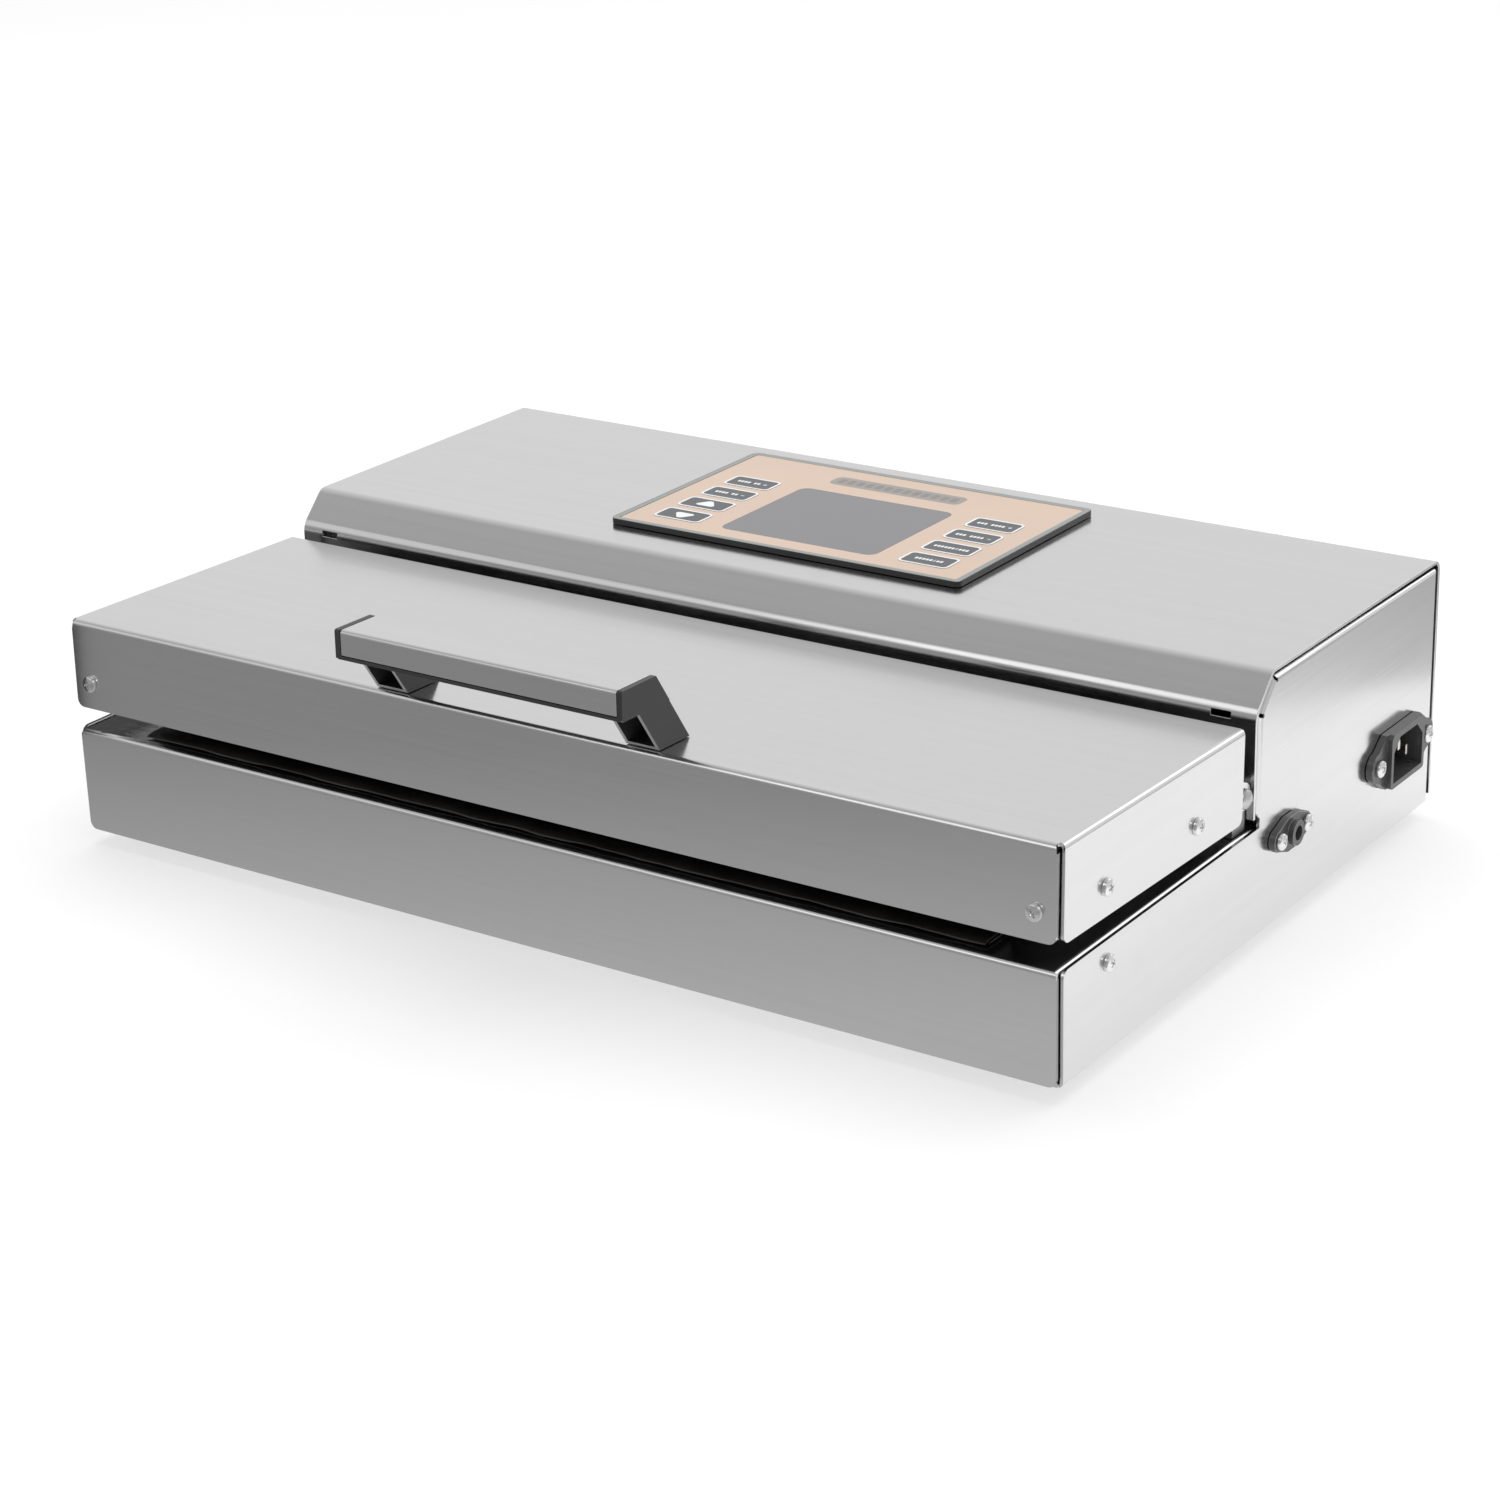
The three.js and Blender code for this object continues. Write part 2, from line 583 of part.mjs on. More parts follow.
// Domed heads from the rim to near the crown: shares of the radius and of the height.
const SCREW_DOME = [[1, 0.35], [0.86, 0.75], [0.5, 0.97]];
const PIN_DOME = [[1, 0.3], [0.87, 0.62], [0.5, 0.92]];

function domed(shape, radius, height) {
  return shape.map(([r, z]) => [radius * r, height * z]);
}

// Pan-head screw along +Z: the underside of the head is at z = 0 and the shank points down.
function screw(headR = SCREW.headR, length = SCREW.length) {
  const h = SCREW.headH;
  return turned([
    [0, -length], [SCREW.shankR, -length], [SCREW.shankR, 0], [headR, 0],
    ...domed(SCREW_DOME, headR, h), [0, h],
  ], 16);
}

// Turns that point a screw's head towards an axis.
const FACING = {
  front: [Math.PI / 2, 0, 0],
  right: [0, Math.PI / 2, 0],
  left: [0, -Math.PI / 2, 0],
};

function placeScrew(parent, name, facing, x, y, z, headR, length) {
  const mesh = place(parent, name, screw(headR, length), screwSteel(), x, y, z);
  mesh.rotation.set(...FACING[facing]);
}

for (const [name, side] of [['left', -1], ['right', 1]]) {
  placeScrew(machine, `base_screw_${name}`, name, side * (HALF_W + GAP), BASE_SCREW.y, BASE_SCREW.z);
  placeScrew(lid, `lid_front_screw_${name}`, 'front', side * LID_SCREW_X, -GAP, LID_SCREW_Z);
  for (const end of ['front', 'rear']) {
    placeScrew(lid, `lid_side_screw_${end}_${name}`, name,
      side * (HALF_W + GAP), LID_SIDE_SCREWS[end], LID_SIDE_SCREWS.z);
  }
}

// Domed pin through the lid's ear and the base's bracket, with its head outside.
function hingePin() {
  const tip = BRACKET_X - 1 - PIN_SEAT;
  const h = PIN_HEAD_H;
  return turned([
    [0, tip], [PIN_R, tip], [PIN_R, 0], [PIN_HEAD_R, 0],
    ...domed(PIN_DOME, PIN_HEAD_R, h), [0, h],
  ]);
}

for (const [name, side] of [['left', -1], ['right', 1]]) {
  const x = side * PIN_SEAT;
  const mesh = place(lid, `hinge_pin_${name}`, hingePin(), screwSteel(), x, HINGE_Y, HINGE_Z);
  mesh.rotation.set(...FACING[name]);
}

// ---------------------------------------------------------------- lid shell

// Solid block of the lid with rolled front and side edges, shrunk by an inset on every side.
function lidBlock(inset) {
  const bend = LID_BEND - inset;
  const half = HALF_W - inset;
  const top = LID_TOP - inset;
  const low = inset ? LID_BOTTOM - 5 : LID_BOTTOM;
  const rear = inset ? LID_REAR + 5 : LID_REAR;
  const side = rounded(
    [point(inset, low), point(rear, low), point(rear, top), point(inset, top)], [0, 0, 0, bend]);
  const front = rounded(
    [point(-half, low), point(half, low), point(half, top), point(-half, top)], [0, 0, bend, bend]);
  return prism('x', side, -half, half).intersect(prism('y', front, inset, rear));
}

// What is cut away to round a square corner at (x, y), whose sides run towards (toX, toY).
function cornerWaste(x, y, toX, toY, r) {
  const corner = [point(x - toX, y + toY * r), point(x - toX, y - toY), point(x + toX * r, y - toY)];
  for (let step = 0; step <= ARC_STEPS; step += 1) {
    const angle = (Math.PI / 2) * (step / ARC_STEPS);
    corner.push(point(x + toX * r * (1 - Math.sin(angle)), y + toY * r * (1 - Math.cos(angle))));
  }
  return toX * toY > 0 ? corner : corner.reverse();
}

// The front face ends short of the side faces, with an open slit down each vertical corner that
// runs out through the fold.
function lidShell() {
  const tools = [];
  for (const side of [-1, 1]) {
    const wall = span(side, HALF_W - SHEET - 0.2, HALF_W + 1);
    const slit = span(side, LID_FRONT_HALF_W, HALF_W + 1);
    tools.push(block(...slit, -1, LID_SIDE_FRONT, LID_BOTTOM - 1, LID_TOP + 1));
    const relief = circle(LID_RELIEF.radius, side * (HALF_W - LID_RELIEF.inset), LID_RELIEF.inset, 16);
    tools.push(prism('z', relief, LID_TOP - 3, LID_TOP + 1));
    const frontCorner = cornerWaste(side * LID_FRONT_HALF_W, LID_BOTTOM, -side, 1, LID_CORNER);
    tools.push(prism('y', frontCorner, -1, SHEET + 0.3));
    tools.push(prism('x', cornerWaste(LID_SIDE_FRONT, LID_BOTTOM, 1, 1, LID_CORNER), ...wall));
    tools.push(prism('x', cornerWaste(LID_REAR, LID_BOTTOM, -1, 1, LID_CORNER), ...wall));
    tools.push(prism('y', screwHole(side * LID_SCREW_X, LID_SCREW_Z), -1, 3));
    for (const y of [LID_SIDE_SCREWS.front, LID_SIDE_SCREWS.rear]) {
      tools.push(prism('x', screwHole(y, LID_SIDE_SCREWS.z), ...wall));
    }
  }
  return cut(lidBlock(0), lidBlock(SHEET), ...tools);
}

place(lid, 'lid_shell', lidShell(), steel());

// ---------------------------------------------------------------- lid inner plate with hinge ears

function lidPlate() {
  const half = PLATE_HALF_W;
  const front = SHEET + 0.4;
  const outer = block(-half, half, front, PLATE_REAR, PLATE_BOTTOM, PLATE_TOP);
  const hollow = block(
    -half + SHEET, half - SHEET, front + SHEET, PLATE_REAR - SHEET, PLATE_BOTTOM + SHEET, PLATE_TOP + 1);
  const tools = [hollow];
  const ears = [];
  for (const side of [-1, 1]) {
    const wall = span(side, EAR_X, EAR_X + SHEET);
    const through = [wall[0] - 1, wall[1] + 1];
    const root = PLATE_REAR - 1;
    const ear = rounded([
      point(root, HINGE_Z - EAR_R), point(HINGE_Y + EAR_R, HINGE_Z - EAR_R),
      point(HINGE_Y + EAR_R, HINGE_Z + EAR_R), point(root, HINGE_Z + 2 * EAR_R),
    ], [0, EAR_R - 0.2, EAR_R - 0.2, 0]);
    ears.push(prism('x', ear, ...wall));
    tools.push(prism('x', circle(PIN_R + GAP, HINGE_Y, HINGE_Z), ...through));
    for (const y of [LID_SIDE_SCREWS.front, LID_SIDE_SCREWS.rear]) {
      tools.push(prism('x', screwHole(y, LID_SIDE_SCREWS.z), ...through));
    }
    tools.push(prism('y', screwHole(side * LID_SCREW_X, LID_SCREW_Z), 0, 5));
  }
  return cut(join(outer, ...ears), ...tools);
}

place(lid, 'lid_plate', lidPlate(), steel());

// ---------------------------------------------------------------- what seals under the lid

place(lid, 'upper_gasket', gasketRing(LOWER_GASKET_TOP + GAP, PLATE_BOTTOM - GAP), foam(), 0, TRAY_Y, 0);
place(lid, 'pressure_strip', sealStrip(0, 9, 22, TAPE.top + 0.45, PLATE_BOTTOM - GAP), rubber());

// ---------------------------------------------------------------- handle

// Side outline of the grip between two heights, shrunk by an inset. Its back slopes with the legs.
function gripOutline(bottom, top, inset) {
  const back = (z) => HANDLE.backTop + (HANDLE.top - z) * HANDLE_SLOPE - inset;
  const front = HANDLE.front + inset;
  return [point(front, bottom), point(back(bottom), bottom), point(back(top), top), point(front, top)];
}

// Side outline of a leg, from the grip down to the lid.
function legOutline(front, back, bottom, top) {
  const slant = (z) => (HANDLE.top - z) * HANDLE_SLOPE;
  return [
    point(front + slant(bottom), bottom), point(back + slant(bottom), bottom),
    point(back + slant(top), top), point(front + slant(top), top),
  ];
}

function handleFrame() {
  const { halfLength, capT, bottom, top, backTop } = HANDLE;
  const core = gripOutline(bottom + 1.1, top - 1.3, 1.5);
  const parts = [
    prism('x', gripOutline(bottom, bottom + 1.2, 0), -halfLength + 1, halfLength - 1),
    prism('x', core, -halfLength + 1, halfLength - 1),
  ];
  const hollows = [];
  for (const side of [-1, 1]) {
    const cap = rounded(gripOutline(bottom, top, 0), [0.6, 0, 0.6, 0.8]);
    parts.push(prism('x', cap, ...span(side, halfLength - capT, halfLength)));
    const legX = span(side, halfLength - LEG_W, halfLength - LEG_STEP);
    const front = HANDLE.front + 2;
    parts.push(prism('x', legOutline(front, backTop, LID_TOP + GAP, bottom + 0.5), ...legX));
    const channel = legOutline(front - 5, backTop - LEG_WALL - 0.4, LID_TOP + 1.5, bottom - 0.6);
    hollows.push(prism('x', channel, legX[0] + LEG_WALL, legX[1] - LEG_WALL));
  }
  return cut(join(...parts), ...hollows);
}

function handleCover() {
  const low = HANDLE.bottom + 1.5;
  const length = HANDLE.halfLength - HANDLE.capT - GAP;
  const outer = rounded(gripOutline(low, HANDLE.top, 0), [0, 0, 1.2, 1.4]);
  const inner = gripOutline(low - 1, HANDLE.top - 1, 1);
  return cut(prism('x', outer, -length, length), prism('x', inner, -length - 1, length + 1));
}

place(lid, 'handle_frame', handleFrame(), blackPlastic(), FEATURE_X, 0, 0);
place(lid, 'handle_cover', handleCover(), steel(), FEATURE_X, 0, 0);

// ---------------------------------------------------------------- control panel

const keyPlaces = [];
for (const [column, side] of [['left', -1], ['right', 1]]) {
  for (let row = 0; row < 4; row += 1) {
    const name = `key_${column}_${row + 1}`;
    keyPlaces.push({ name, x: FEATURE_X + side * KEY_COLUMN, y: KEY_FRONT_Y + row * KEY_PITCH });
  }
}

function keyOutline(margin, x = 0, y = 0) {
  const outline = rectangle(KEY.width + 2 * margin, KEY.depth + 2 * margin, x, y);
  return rounded(outline, KEY.corner + margin);
}

function panelBezel() {
  const outer = rounded(rectangle(PANEL.width, PANEL.depth, FEATURE_X, PANEL_Y), 2.5);
  const recess = rounded(rectangle(OVERLAY.width + 0.6, OVERLAY.depth + 0.6, FEATURE_X, PANEL_Y), 1.5);
  const slab = prism('z', outer, PANEL.bottom, PANEL.rimTop);
  const tools = keyPlaces.map(({ x, y }) => prism('z', keyOutline(0.6, x, y), 90, 100));
  const display = rectangle(DISPLAY.width + 1.2, DISPLAY.depth + 1.2, FEATURE_X, DISPLAY.y);
  return cut(slab, prism('z', recess, PANEL.plateTop, 100), prism('z', rounded(display, 4), 90, 100),
    ...tools);
}

function panelOverlay() {
  const outer = rounded(rectangle(OVERLAY.width, OVERLAY.depth, FEATURE_X, PANEL_Y), 1.2);
  const display = rectangle(DISPLAY.width + 0.5, DISPLAY.depth + 0.5, FEATURE_X, DISPLAY.y);
  const holes = keyPlaces.map(({ x, y }) => keyOutline(KEY.play, x, y));
  return prism('z', outer, PANEL.plateTop + GAP, OVERLAY.top, [rounded(display, 4), ...holes]);
}

function displayWindow() {
  const outline = rounded(rectangle(DISPLAY.width, DISPLAY.depth, FEATURE_X, DISPLAY.y), 4);
  return prism('z', outline, PANEL.plateTop - 0.4, OVERLAY.top);
}

place(machine, 'panel_bezel', panelBezel(), blackPlastic());
place(machine, 'panel_overlay', panelOverlay(), copperFilm());
place(machine, 'display_window', displayWindow(), displayGlass());
for (const { name, x, y } of keyPlaces) {
  place(machine, name, prism('z', keyOutline(0), KEY.bottom, KEY.top), keyFilm(), x, y, 0);
}

// Board under the panel, with the display module standing up through the cover.
function controlBoard() {
  const { width, depth, bottom, thickness } = CONTROL_BOARD;
  const top = bottom + thickness;
  return join(
    prism('z', rectangle(width, depth), bottom, top),
    component(DISPLAY_MODULE, top),
    component(CHIP, top),
    component(CONNECTOR, top),
  );
}

place(machine, 'control_board', controlBoard(), boardGreen(), FEATURE_X, DISPLAY.y, 0);

// ---------------------------------------------------------------- mains inlet

// Outline of a flange: a middle block with a round ear at each end.
function twoEars(reach, earR, width, height) {
  const [w, h] = [width / 2, height / 2];
  const ear = (x, from) => [0, 1, 2, 3, 4, 5, 6].map((step) => {
    const angle = from + (Math.PI * step) / 6;
    return point(x + earR * Math.cos(angle), earR * Math.sin(angle));
  });
  return [
    ...ear(reach, -Math.PI / 2), point(w, h), point(-w, h),
    ...ear(-reach, Math.PI / 2), point(-w, -h), point(w, -h),
  ];
}

// Opening of the socket, with its two upper corners cut off.
function socketOutline() {
  const [w, h, c] = [SOCKET.width / 2, SOCKET.height / 2, SOCKET.chamfer];
  return [
    point(-w, -h), point(w, -h), point(w, h - c), point(w - c, h), point(-w + c, h), point(-w, h - c),
  ];
}

function inletSocket() {
  const { width, height, flangeT, face, depth, earReach, earR } = INLET;
  const flange = prism('x', twoEars(earReach, earR, width, height), GAP, GAP + flangeT);
  const body = prism('x', rounded(rectangle(width, height), [1.5, 1.5, 2.5, 2.5]), flangeT, face);
  const back = prism('x', rectangle(width - 0.8, height - 0.8), face - depth - 4, 1);
  const tools = [prism('x', socketOutline(), face - depth, face + 1)];
  for (const side of [-1, 1]) {
    tools.push(prism('x', screwHole(side * earReach, 0), -1, 5));
  }
  for (const { y, z } of PINS) {
    tools.push(prism('x', rectangle(PIN_W + 2 * GAP, PIN_H + 2 * GAP, y, z), face - depth - 5, face));
  }
  return cut(join(flange, body, back), ...tools);
}

place(machine, 'inlet_socket', inletSocket(), blackPlastic(), HALF_W, INLET_Y, INLET_Z);
for (const { name, y, z } of PINS) {
  const blade = prism('x', rectangle(PIN_W, PIN_H), INLET.face - INLET.depth - 9, INLET.face - 3.5);
  place(machine, `inlet_pin_${name}`, blade, nickel(), HALF_W, INLET_Y + y, INLET_Z + z);
}
for (const [name, side] of [['front', -1], ['rear', 1]]) {
  placeScrew(machine, `inlet_screw_${name}`, 'right', HALF_W + GAP + INLET.flangeT + GAP,
    INLET_Y + side * INLET.earReach, INLET_Z, SCREW.socketHeadR, SCREW.socketLength);
}

// ---------------------------------------------------------------- accessory vacuum port

function vacuumPort() {
  const { earReach, earR, flangeT, width, height } = PORT;
  const flange = prism('x', twoEars(earReach, earR, width, height), GAP, GAP + flangeT);
  const nozzle = prism('x', circle(PORT.nozzleR), -7, PORT.reach);
  const spigot = prism('x', circle(SPIGOT.outerR, 0, 0, 12), -16, -6);
  const tools = [
    prism('x', circle(PORT.bore), -5.5, PORT.reach + 1),
    prism('x', circle(SPIGOT.boreR, 0, 0, 12), -17, 0),
  ];
  for (const side of [-1, 1]) {
    tools.push(prism('x', screwHole(side * PORT.earReach, 0), -1, 5));
  }
  return cut(join(flange, nozzle, spigot), ...tools);
}

place(machine, 'vacuum_port', vacuumPort(), blackPlastic(), HALF_W, PORT_Y, PORT_Z);
for (const [name, side] of [['front', -1], ['rear', 1]]) {
  placeScrew(machine, `port_screw_${name}`, 'right', HALF_W + GAP + PORT.flangeT + GAP,
    PORT_Y + side * PORT.earReach, PORT_Z, SCREW.headR, SCREW.socketLength);
}

// ---------------------------------------------------------------- vacuum pump

function pumpMotor() {
  const half = PUMP.motorLength / 2;
  const can = prism('x', circle(PUMP.motorR, 0, 0, 28), -half, half);
  const { inset, halfWidth, top } = MOTOR_FOOT;
  const saddle = block(
    -half + inset, half - inset, -halfWidth, halfWidth, SHEET + GAP - PUMP.z, top);
  const shaftHole = prism('x', circle(PUMP.shaftR + GAP), -half - 1, -half + PUMP.shaftIn);
  return cut(join(can, saddle), shaftHole);
}

function motorFan() {
  const shaft = prism('x', circle(PUMP.shaftR), -FAN.behind, PUMP.shaftIn);
  const hub = prism('x', circle(FAN.hubR), -FAN.depth, -FAN.behind);
  const [width, thickness] = [FAN.bladeWidth / 2, FAN.bladeT / 2];
  const parts = [shaft, hub];
  for (let blade = 0; blade < FAN.blades; blade += 1) {
    const vane = block(-width, width, -thickness, thickness, FAN.hubR - 1, FAN.radius)
      .rotate([0, 0, FAN.pitch])
      .rotate([(360 * blade) / FAN.blades, 0, 0])
      .translate([-(FAN.depth + FAN.behind) / 2, 0, 0]);
    parts.push(vane);
  }
  return join(...parts);
}

const motorX = PUMP.x - CRANKCASE.width / 2 - GAP - PUMP.motorLength / 2;
const motorEnd = motorX - PUMP.motorLength / 2;

place(machine, 'pump_motor', pumpMotor(), darkSteel(), motorX, PUMP.y, PUMP.z);
place(machine, 'motor_fan', motorFan(), blackPlastic(), motorEnd - 1, PUMP.y, PUMP.z);

// Crankcase with a cylinder head in front of it and one behind it.
function pumpBody() {
  const half = CRANKCASE.depth / 2;
  const parts = [block(
    -CRANKCASE.width / 2, CRANKCASE.width / 2, -half, half, SHEET + GAP - PUMP.z, CRANKCASE.height / 2)];
  for (const side of [-1, 1]) {
    const head = span(side, half - 1, half + HEAD.depth);
    const cap = span(side, half + HEAD.depth - 1, half + HEAD.depth + HEAD.capT);
    parts.push(block(-HEAD.width / 2, HEAD.width / 2, ...head, -HEAD.height / 2, HEAD.height / 2));
    const [capX, capZ] = [HEAD.width / 2 - HEAD.capInset, HEAD.height / 2 - HEAD.capInset];
    parts.push(block(-capX, capX, ...cap, -capZ, capZ));
  }
  return join(...parts);
}

place(machine, 'pump_body', pumpBody(), castAluminium(), PUMP.x, PUMP.y, PUMP.z);

// ---------------------------------------------------------------- transformer

function transformerCore() {
  const stack = prism('y', rectangle(CORE.width, CORE.height), -CORE.depth / 2, CORE.depth / 2);
  const windows = [-1, 1].map((side) => prism('y', rectangle(
    CORE_WINDOW.width, CORE_WINDOW.height, side * CORE_WINDOW.x), -CORE.depth, CORE.depth));
  const footTop = -CORE.height / 2 + 0.5;
  const foot = prism('z', rectangle(
    TRANSFORMER.foot, CORE.depth), footTop - TRANSFORMER.footT, footTop);
  return cut(join(stack, foot), ...windows);
}

function transformerCoil() {
  const outer = rounded(rectangle(COIL.width, COIL.depth), COIL.corner);
  const inner = rectangle(COIL.boreWidth, COIL.boreDepth);
  return prism('z', outer, -COIL.height / 2, COIL.height / 2, [inner]);
}

place(machine, 'transformer_core', transformerCore(), darkSteel(),
  TRANSFORMER.x, TRANSFORMER.y, TRANSFORMER.z);
place(machine, 'transformer_coil', transformerCoil(), copperWire(),
  TRANSFORMER.x, TRANSFORMER.y, TRANSFORMER.z);

// ---------------------------------------------------------------- power board

function powerBoard() {
  const { width, length, bottom, thickness } = POWER_BOARD;
  const top = bottom + thickness;
  const parts = [
    prism('z', rectangle(width, length), bottom, top),
    component(RELAY, top),
    component(TERMINAL, top),
    prism('z', circle(CAPACITOR.radius, CAPACITOR.x, CAPACITOR.y), top - 0.5, CAPACITOR.top),
    component({ ...HEAT_SINK, top: HEAT_SINK.base }, top),
  ];
  const finPitch = (HEAT_SINK.width - HEAT_SINK.finT) / (HEAT_SINK.fins - 1);
  for (let fin = 0; fin < HEAT_SINK.fins; fin += 1) {
    const x = HEAT_SINK.x + (fin - (HEAT_SINK.fins - 1) / 2) * finPitch;
    parts.push(component({ ...HEAT_SINK, x, width: HEAT_SINK.finT }, HEAT_SINK.base));
  }
  for (const side of [-1, 1]) {
    const foot = rectangle(STANDOFF.width, STANDOFF.width, side * STANDOFF.x, side * STANDOFF.y);
    parts.push(prism('z', foot, SHEET + GAP, bottom + 0.5));
  }
  return join(...parts);
}

place(machine, 'power_board', powerBoard(), boardGreen(), POWER_BOARD.x, POWER_BOARD.y, 0);

// ---------------------------------------------------------------- release valve and hoses

function releaseValve() {
  const halfHeight = VALVE.width / 2;
  const inset = 1; // joined solids run this far into each other
  const body = prism('z', rectangle(VALVE.length, VALVE.width), -halfHeight, halfHeight);
  const coil = prism('z', circle(VALVE.coilR), halfHeight - inset, VALVE.coilTop);
  const spigot = prism('x', circle(SPIGOT.outerR, 0, 0, 12), VALVE.length / 2 - inset, VALVE.length);
  const foot = prism('z', rectangle(
    VALVE_FOOT.length, VALVE_FOOT.width), SHEET + GAP - VALVE.z, -halfHeight + inset);
  return join(body, coil, spigot, foot);
}

place(machine, 'release_valve', releaseValve(), darkSteel(), VALVE.x, VALVE.y, VALVE.z);

// A route of straight runs with a smooth bend at each inner corner.
function bentRoute(corners, bend) {
  const route = new THREE.CurvePath();
  let from = corners[0];
  for (let i = 1; i + 1 < corners.length; i += 1) {
    const [before, corner, after] = corners.slice(i - 1, i + 2);
    const into = corner.clone().addScaledVector(before.clone().sub(corner).normalize(), bend);
    const out = corner.clone().addScaledVector(after.clone().sub(corner).normalize(), bend);
    route.add(new THREE.LineCurve3(from, into));
    route.add(new THREE.QuadraticBezierCurve3(into, corner, out));
    from = out;
  }
  route.add(new THREE.LineCurve3(from, corners[corners.length - 1]));
  return route;
}

// An eight-sided tube with an open bore.
function hose(corners, bend) {
  const extrudePath = bentRoute(corners.map((xyz) => new THREE.Vector3(...xyz)), bend);
  const shape = new THREE.Shape(circle(HOSE.outerR, 0, 0, 8));
  shape.holes = [new THREE.Path(circle(HOSE.innerR, 0, 0, 8))];
  const steps = Math.round(extrudePath.getLength() / 5);
  return new THREE.ExtrudeGeometry(shape, { steps, bevelEnabled: false, extrudePath });
}

// From the vacuum tray under the deck's rear edge and up to the pump's front head.
function chamberHose() {
  const trayEnd = TRAY_Y + TUB.halfY + 2;
  const headFace = PUMP.y - CRANKCASE.depth / 2 - HEAD.depth - HEAD.capT - GAP;
  return hose([
    [SPIGOT_X, trayEnd, SPIGOT_Z],
    [SPIGOT_X, HOSE.crossY, SPIGOT_Z],
    [PUMP.x, HOSE.crossY, SPIGOT_Z],
    [PUMP.x, HOSE.crossY, PUMP.z],
    [PUMP.x, headFace, PUMP.z],
  ], 9);
}

// From the accessory port to the release valve, with a shallow sag between them.
function portHose() {
  const middle = (HALF_W + VALVE.x) / 2;
  return hose([
    [HALF_W - 8, PORT_Y, PORT_Z],
    [HALF_W - 18, PORT_Y, PORT_Z],
    [middle, PORT_Y, PORT_Z - 3],
    [VALVE.x + 26, PORT_Y, PORT_Z],
    [VALVE.x + 13, PORT_Y, PORT_Z],
  ], 3);
}

place(machine, 'chamber_hose', chamberHose(), clearHose());
place(machine, 'port_hose', portHose(), clearHose());

// ---------------------------------------------------------------- the whole machine

// The lid is drawn closed, then turned about the hinge to its resting tilt.
const lidTurn = new THREE.Group();
lidTurn.position.set(0, HINGE_Y, HINGE_Z);
lidTurn.rotation.x = -REST_TILT;
lid.position.set(0, -HINGE_Y, -HINGE_Z);
lidTurn.add(lid);
machine.add(lidTurn);

// The exported frame's origin is under the middle of the whole outline.
const handleLeft = HANDLE.front - HINGE_Y;
const handleUp = HANDLE.bottom - HINGE_Z;
const reachFront = HINGE_Y + handleLeft * Math.cos(REST_TILT) + handleUp * Math.sin(REST_TILT);
const reachLeft = -(HALF_W + GAP + SCREW.headH);
const reachRight = HALF_W + Math.max(INLET.face, 2 * GAP + INLET.flangeT + SCREW.headH);
machine.position.set(-(reachLeft + reachRight) / 2, -(reachFront + DEPTH) / 2, FOOT_H);

const vacuumSealer = new THREE.Group();
vacuumSealer.add(machine);

export default vacuumSealer;
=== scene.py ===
import json
import math

import bmesh
import bpy
from mathutils import Matrix, Vector, noise


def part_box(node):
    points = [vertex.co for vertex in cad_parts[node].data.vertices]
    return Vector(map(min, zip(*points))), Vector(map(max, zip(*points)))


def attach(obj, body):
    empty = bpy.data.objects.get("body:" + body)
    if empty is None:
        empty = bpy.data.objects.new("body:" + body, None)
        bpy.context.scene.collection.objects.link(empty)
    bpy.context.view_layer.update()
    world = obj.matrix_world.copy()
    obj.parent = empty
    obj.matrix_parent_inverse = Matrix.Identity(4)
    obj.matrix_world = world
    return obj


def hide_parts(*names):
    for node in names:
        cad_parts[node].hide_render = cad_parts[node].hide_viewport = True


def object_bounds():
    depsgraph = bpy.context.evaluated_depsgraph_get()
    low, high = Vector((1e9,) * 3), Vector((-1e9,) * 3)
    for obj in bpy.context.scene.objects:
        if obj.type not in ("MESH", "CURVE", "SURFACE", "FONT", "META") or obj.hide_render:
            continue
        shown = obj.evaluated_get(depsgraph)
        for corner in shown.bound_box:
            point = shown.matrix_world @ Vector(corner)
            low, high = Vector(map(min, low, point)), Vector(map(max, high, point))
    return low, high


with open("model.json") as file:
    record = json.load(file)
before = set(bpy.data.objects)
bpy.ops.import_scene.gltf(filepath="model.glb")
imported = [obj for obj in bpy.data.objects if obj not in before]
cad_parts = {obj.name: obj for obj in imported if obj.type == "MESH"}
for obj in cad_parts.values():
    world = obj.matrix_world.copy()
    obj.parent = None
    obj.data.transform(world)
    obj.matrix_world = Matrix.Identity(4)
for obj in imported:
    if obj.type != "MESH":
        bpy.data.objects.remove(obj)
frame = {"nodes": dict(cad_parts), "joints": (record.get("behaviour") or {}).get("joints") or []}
CAD_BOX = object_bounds()
NODES = frame["nodes"]
JOINTS = {joint["name"]: joint for joint in frame["joints"]}

# ---------------------------------------------------------------- sizes, in metres and degrees

MM = 0.001
CAMERA = {"place": (0.6901, -0.9811, 0.5072), "heading": 35.022, "down": 21.503, "roll": -1.758}
LENS = {"focal_mm": 84.447, "sensor_mm": 36.0}
REST_TILT = -math.radians(JOINTS["lid_hinge"]["range_deg"][0])

SHEET_EDGE = 0.16 * MM  # rounding of a cut sheet edge
MOULDED_EDGE = 0.3 * MM  # rounding of a moulded edge
INK = 0.03 * MM  # thickness of printed ink
INK_LIFT = 0.01 * MM

PAD_GROWTH = 0.24 * MM  # how far a pressed film pad laps towards the film round it
KEY_LINE = 0.95 * MM  # white line round each key
KEY_LINE_INSET = 0.05 * MM
KEY_CORNER = 2.5 * MM
LENS_CORNER = 4.1 * MM
